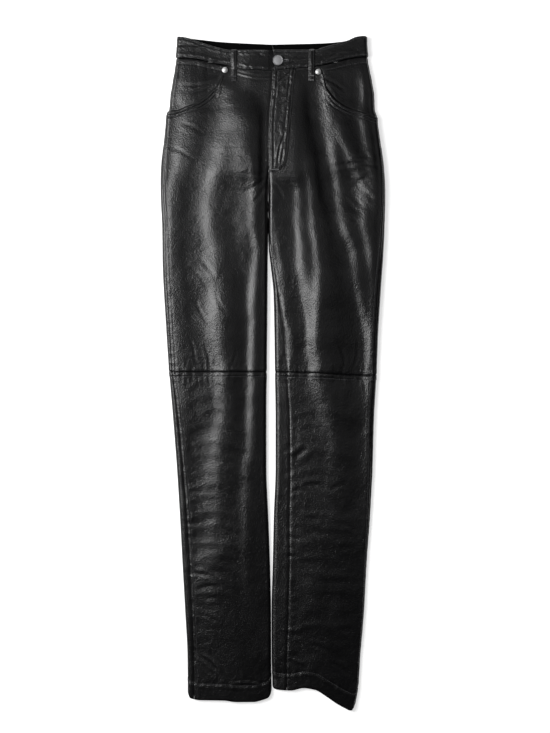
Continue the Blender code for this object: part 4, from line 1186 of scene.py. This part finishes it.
def turned(name, node, profile, segments, material):
    # The profile, radius and height in millimetres from the top down its outer side, turned about its axis.
    profile = [(radius * mm, height * mm) for radius, height in profile]
    low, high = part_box(node)
    x, y = 0.5 * (low[0] + high[0]), 0.5 * (low[1] + high[1])
    turn = np.arange(segments) / segments * 2 * math.pi
    rings = np.array([point for point in profile if point[0] > 0])
    points = np.stack([np.outer(rings[:, 0], np.cos(turn)) + x, np.outer(rings[:, 0], np.sin(turn)) + y,
                       np.repeat(rings[:, 1:], segments, axis=1) + low[2]], -1).reshape(-1, 3)
    ends = [(x, y, low[2] + profile[0][1]), (x, y, low[2] + profile[-1][1])]
    count = len(points)
    ring = np.arange(segments)
    after = (ring + 1) % segments
    faces = []
    for row in range(len(rings) - 1):
        above, below = row * segments, (row + 1) * segments
        faces += np.stack([above + ring, below + ring, below + after, above + after], -1).tolist()
    faces += np.stack([np.full(segments, count), ring, after], -1).tolist()
    last = (len(rings) - 1) * segments
    faces += np.stack([np.full(segments, count + 1), last + after, last + ring], -1).tolist()
    mesh = bpy.data.meshes.new(name)
    mesh.from_pydata(points.tolist() + ends, [], faces)
    mesh.polygons.foreach_set("use_smooth", np.ones(len(faces), dtype=bool))
    mesh.set_sharp_from_angle(angle=math.radians(50))
    piece = addPiece(name, mesh, [material])
    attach(piece, "root")
    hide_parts(node)
    return piece


print("shapes defined")
for half in ("left", "right"):
    for kind in panels:
        makePanel(kind, half)
    makeFacing(half)
    makeWaistband(half)
for name, settings in beltLoops.items():
    makeLoop(name, **settings)
print("leather made")

buttonLow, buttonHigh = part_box("button")
buttonTall = (buttonHigh[2] - buttonLow[2]) / mm
buttonProfile = [(0, buttonTall - 0.26), (6.4, buttonTall - 0.30), (6.9, buttonTall - 0.42),
                 (7.1, buttonTall - 0.36), (7.35, buttonTall - 0.06), (7.7, buttonTall),
                 (8.1, buttonTall - 0.15), (8.42, buttonTall - 0.65), (8.5, buttonTall - 1.25),
                 (8.35, buttonTall - 1.95), (7.6, buttonTall - 2.4), (1.8, buttonTall - 2.45),
                 (1.8, 0.4), (2.6, 0.0), (0, 0)]
rivetProfile = [(0, 2.1), (0.9, 2.08), (1.8, 1.98), (2.6, 1.76), (3.1, 1.50), (3.35, 1.22), (3.6, 1.16),
                (4.1, 1.12), (4.5, 0.95), (4.75, 0.62), (4.8, 0.3), (4.75, 0.0), (0, 0)]
turned("buttonHead", "button", buttonProfile, 72, buttonMetal)
for half in ("left", "right"):
    turned(f"rivet{half.capitalize()}", f"rivet_{half}", rivetProfile, 56, rivetMetal)

buttonholeStitches()
flyTack()
threads = stitchMesh()
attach(threads, "root")
for nodeName, material in (("fly_facing", fleshPaintedShade), ("fly_zip", zipTape)):
    for holder in bpy.data.objects:
        if holder.name == nodeName:
            for place in holder.material_slots:
                place.material = material
print("stitches and hardware made")

# Floor, light and camera

studio = dict(height=3.012, lens=89.3, world=0.012, floor=0.88, glow=0.64)
lights = {
    "key": dict(place=(-1.211, 0.35, 1.45), target=(-0.111, -0.15, 0), size=(0.90, 1.45), power=42.0),
    "brow": dict(place=(-0.2, 2.15, 1.5), target=(0, 0.35, 0), size=(2.0, 0.55), power=5.0),
    "top": dict(place=(0.1, 0.85, 3.3), target=(0.1, 0.85, 0), size=(1.3, 1.3), power=1.3),
    "side": dict(place=(0.78, 0.42, 1.9), target=(0.1, 0.1, 0), size=(1.1, 1.1), power=1.3),
}

floorMesh = bpy.data.meshes.new("floor")
floorMesh.from_pydata([(-6, -6, 0), (6, -6, 0), (6, 6, 0), (-6, 6, 0)], [], [(0, 1, 2, 3)])
floor = bpy.data.objects.new("floor", floorMesh)
floor.location.z = -0.05 * mm
bpy.context.scene.collection.objects.link(floor)
paper, _, _, paperShader = newMaterial("paper", (studio["floor"],) * 3, 0.9)
paperShader.inputs["Specular IOR Level"].default_value = 0.1
paperShader.inputs["Emission Color"].default_value = (1, 1, 1, 1)
paperShader.inputs["Emission Strength"].default_value = studio["glow"]
floorMesh.materials.append(paper)


def addArea(name, place, target, size, power):
    lamp = bpy.data.lights.new(name, "AREA")
    lamp.shape = "RECTANGLE"
    lamp.size, lamp.size_y = size
    lamp.energy = power
    holder = bpy.data.objects.new(name, lamp)
    holder.location = place
    aim = Vector(target) - Vector(place)
    holder.rotation_euler = aim.to_track_quat("-Z", "Y").to_euler()
    bpy.context.scene.collection.objects.link(holder)
    return holder


for name, settings in lights.items():
    addArea(name, **settings)
world = bpy.data.worlds.new("studio")
world.use_nodes = True
world.node_tree.nodes["Background"].inputs["Color"].default_value = (1, 1, 1, 1)
world.node_tree.nodes["Background"].inputs["Strength"].default_value = studio["world"]
bpy.context.scene.world = world

camera = bpy.data.objects.new("camera", bpy.data.cameras.new("camera"))
camera.data.lens = studio["lens"]
camera.data.sensor_width = 36
camera.data.clip_end = 20
camera.location = (0.0034, 0.0112, studio["height"])
bpy.context.scene.collection.objects.link(camera)
bpy.context.scene.camera = camera
bpy.context.scene.view_settings.view_transform = "Standard"
print("stage set")
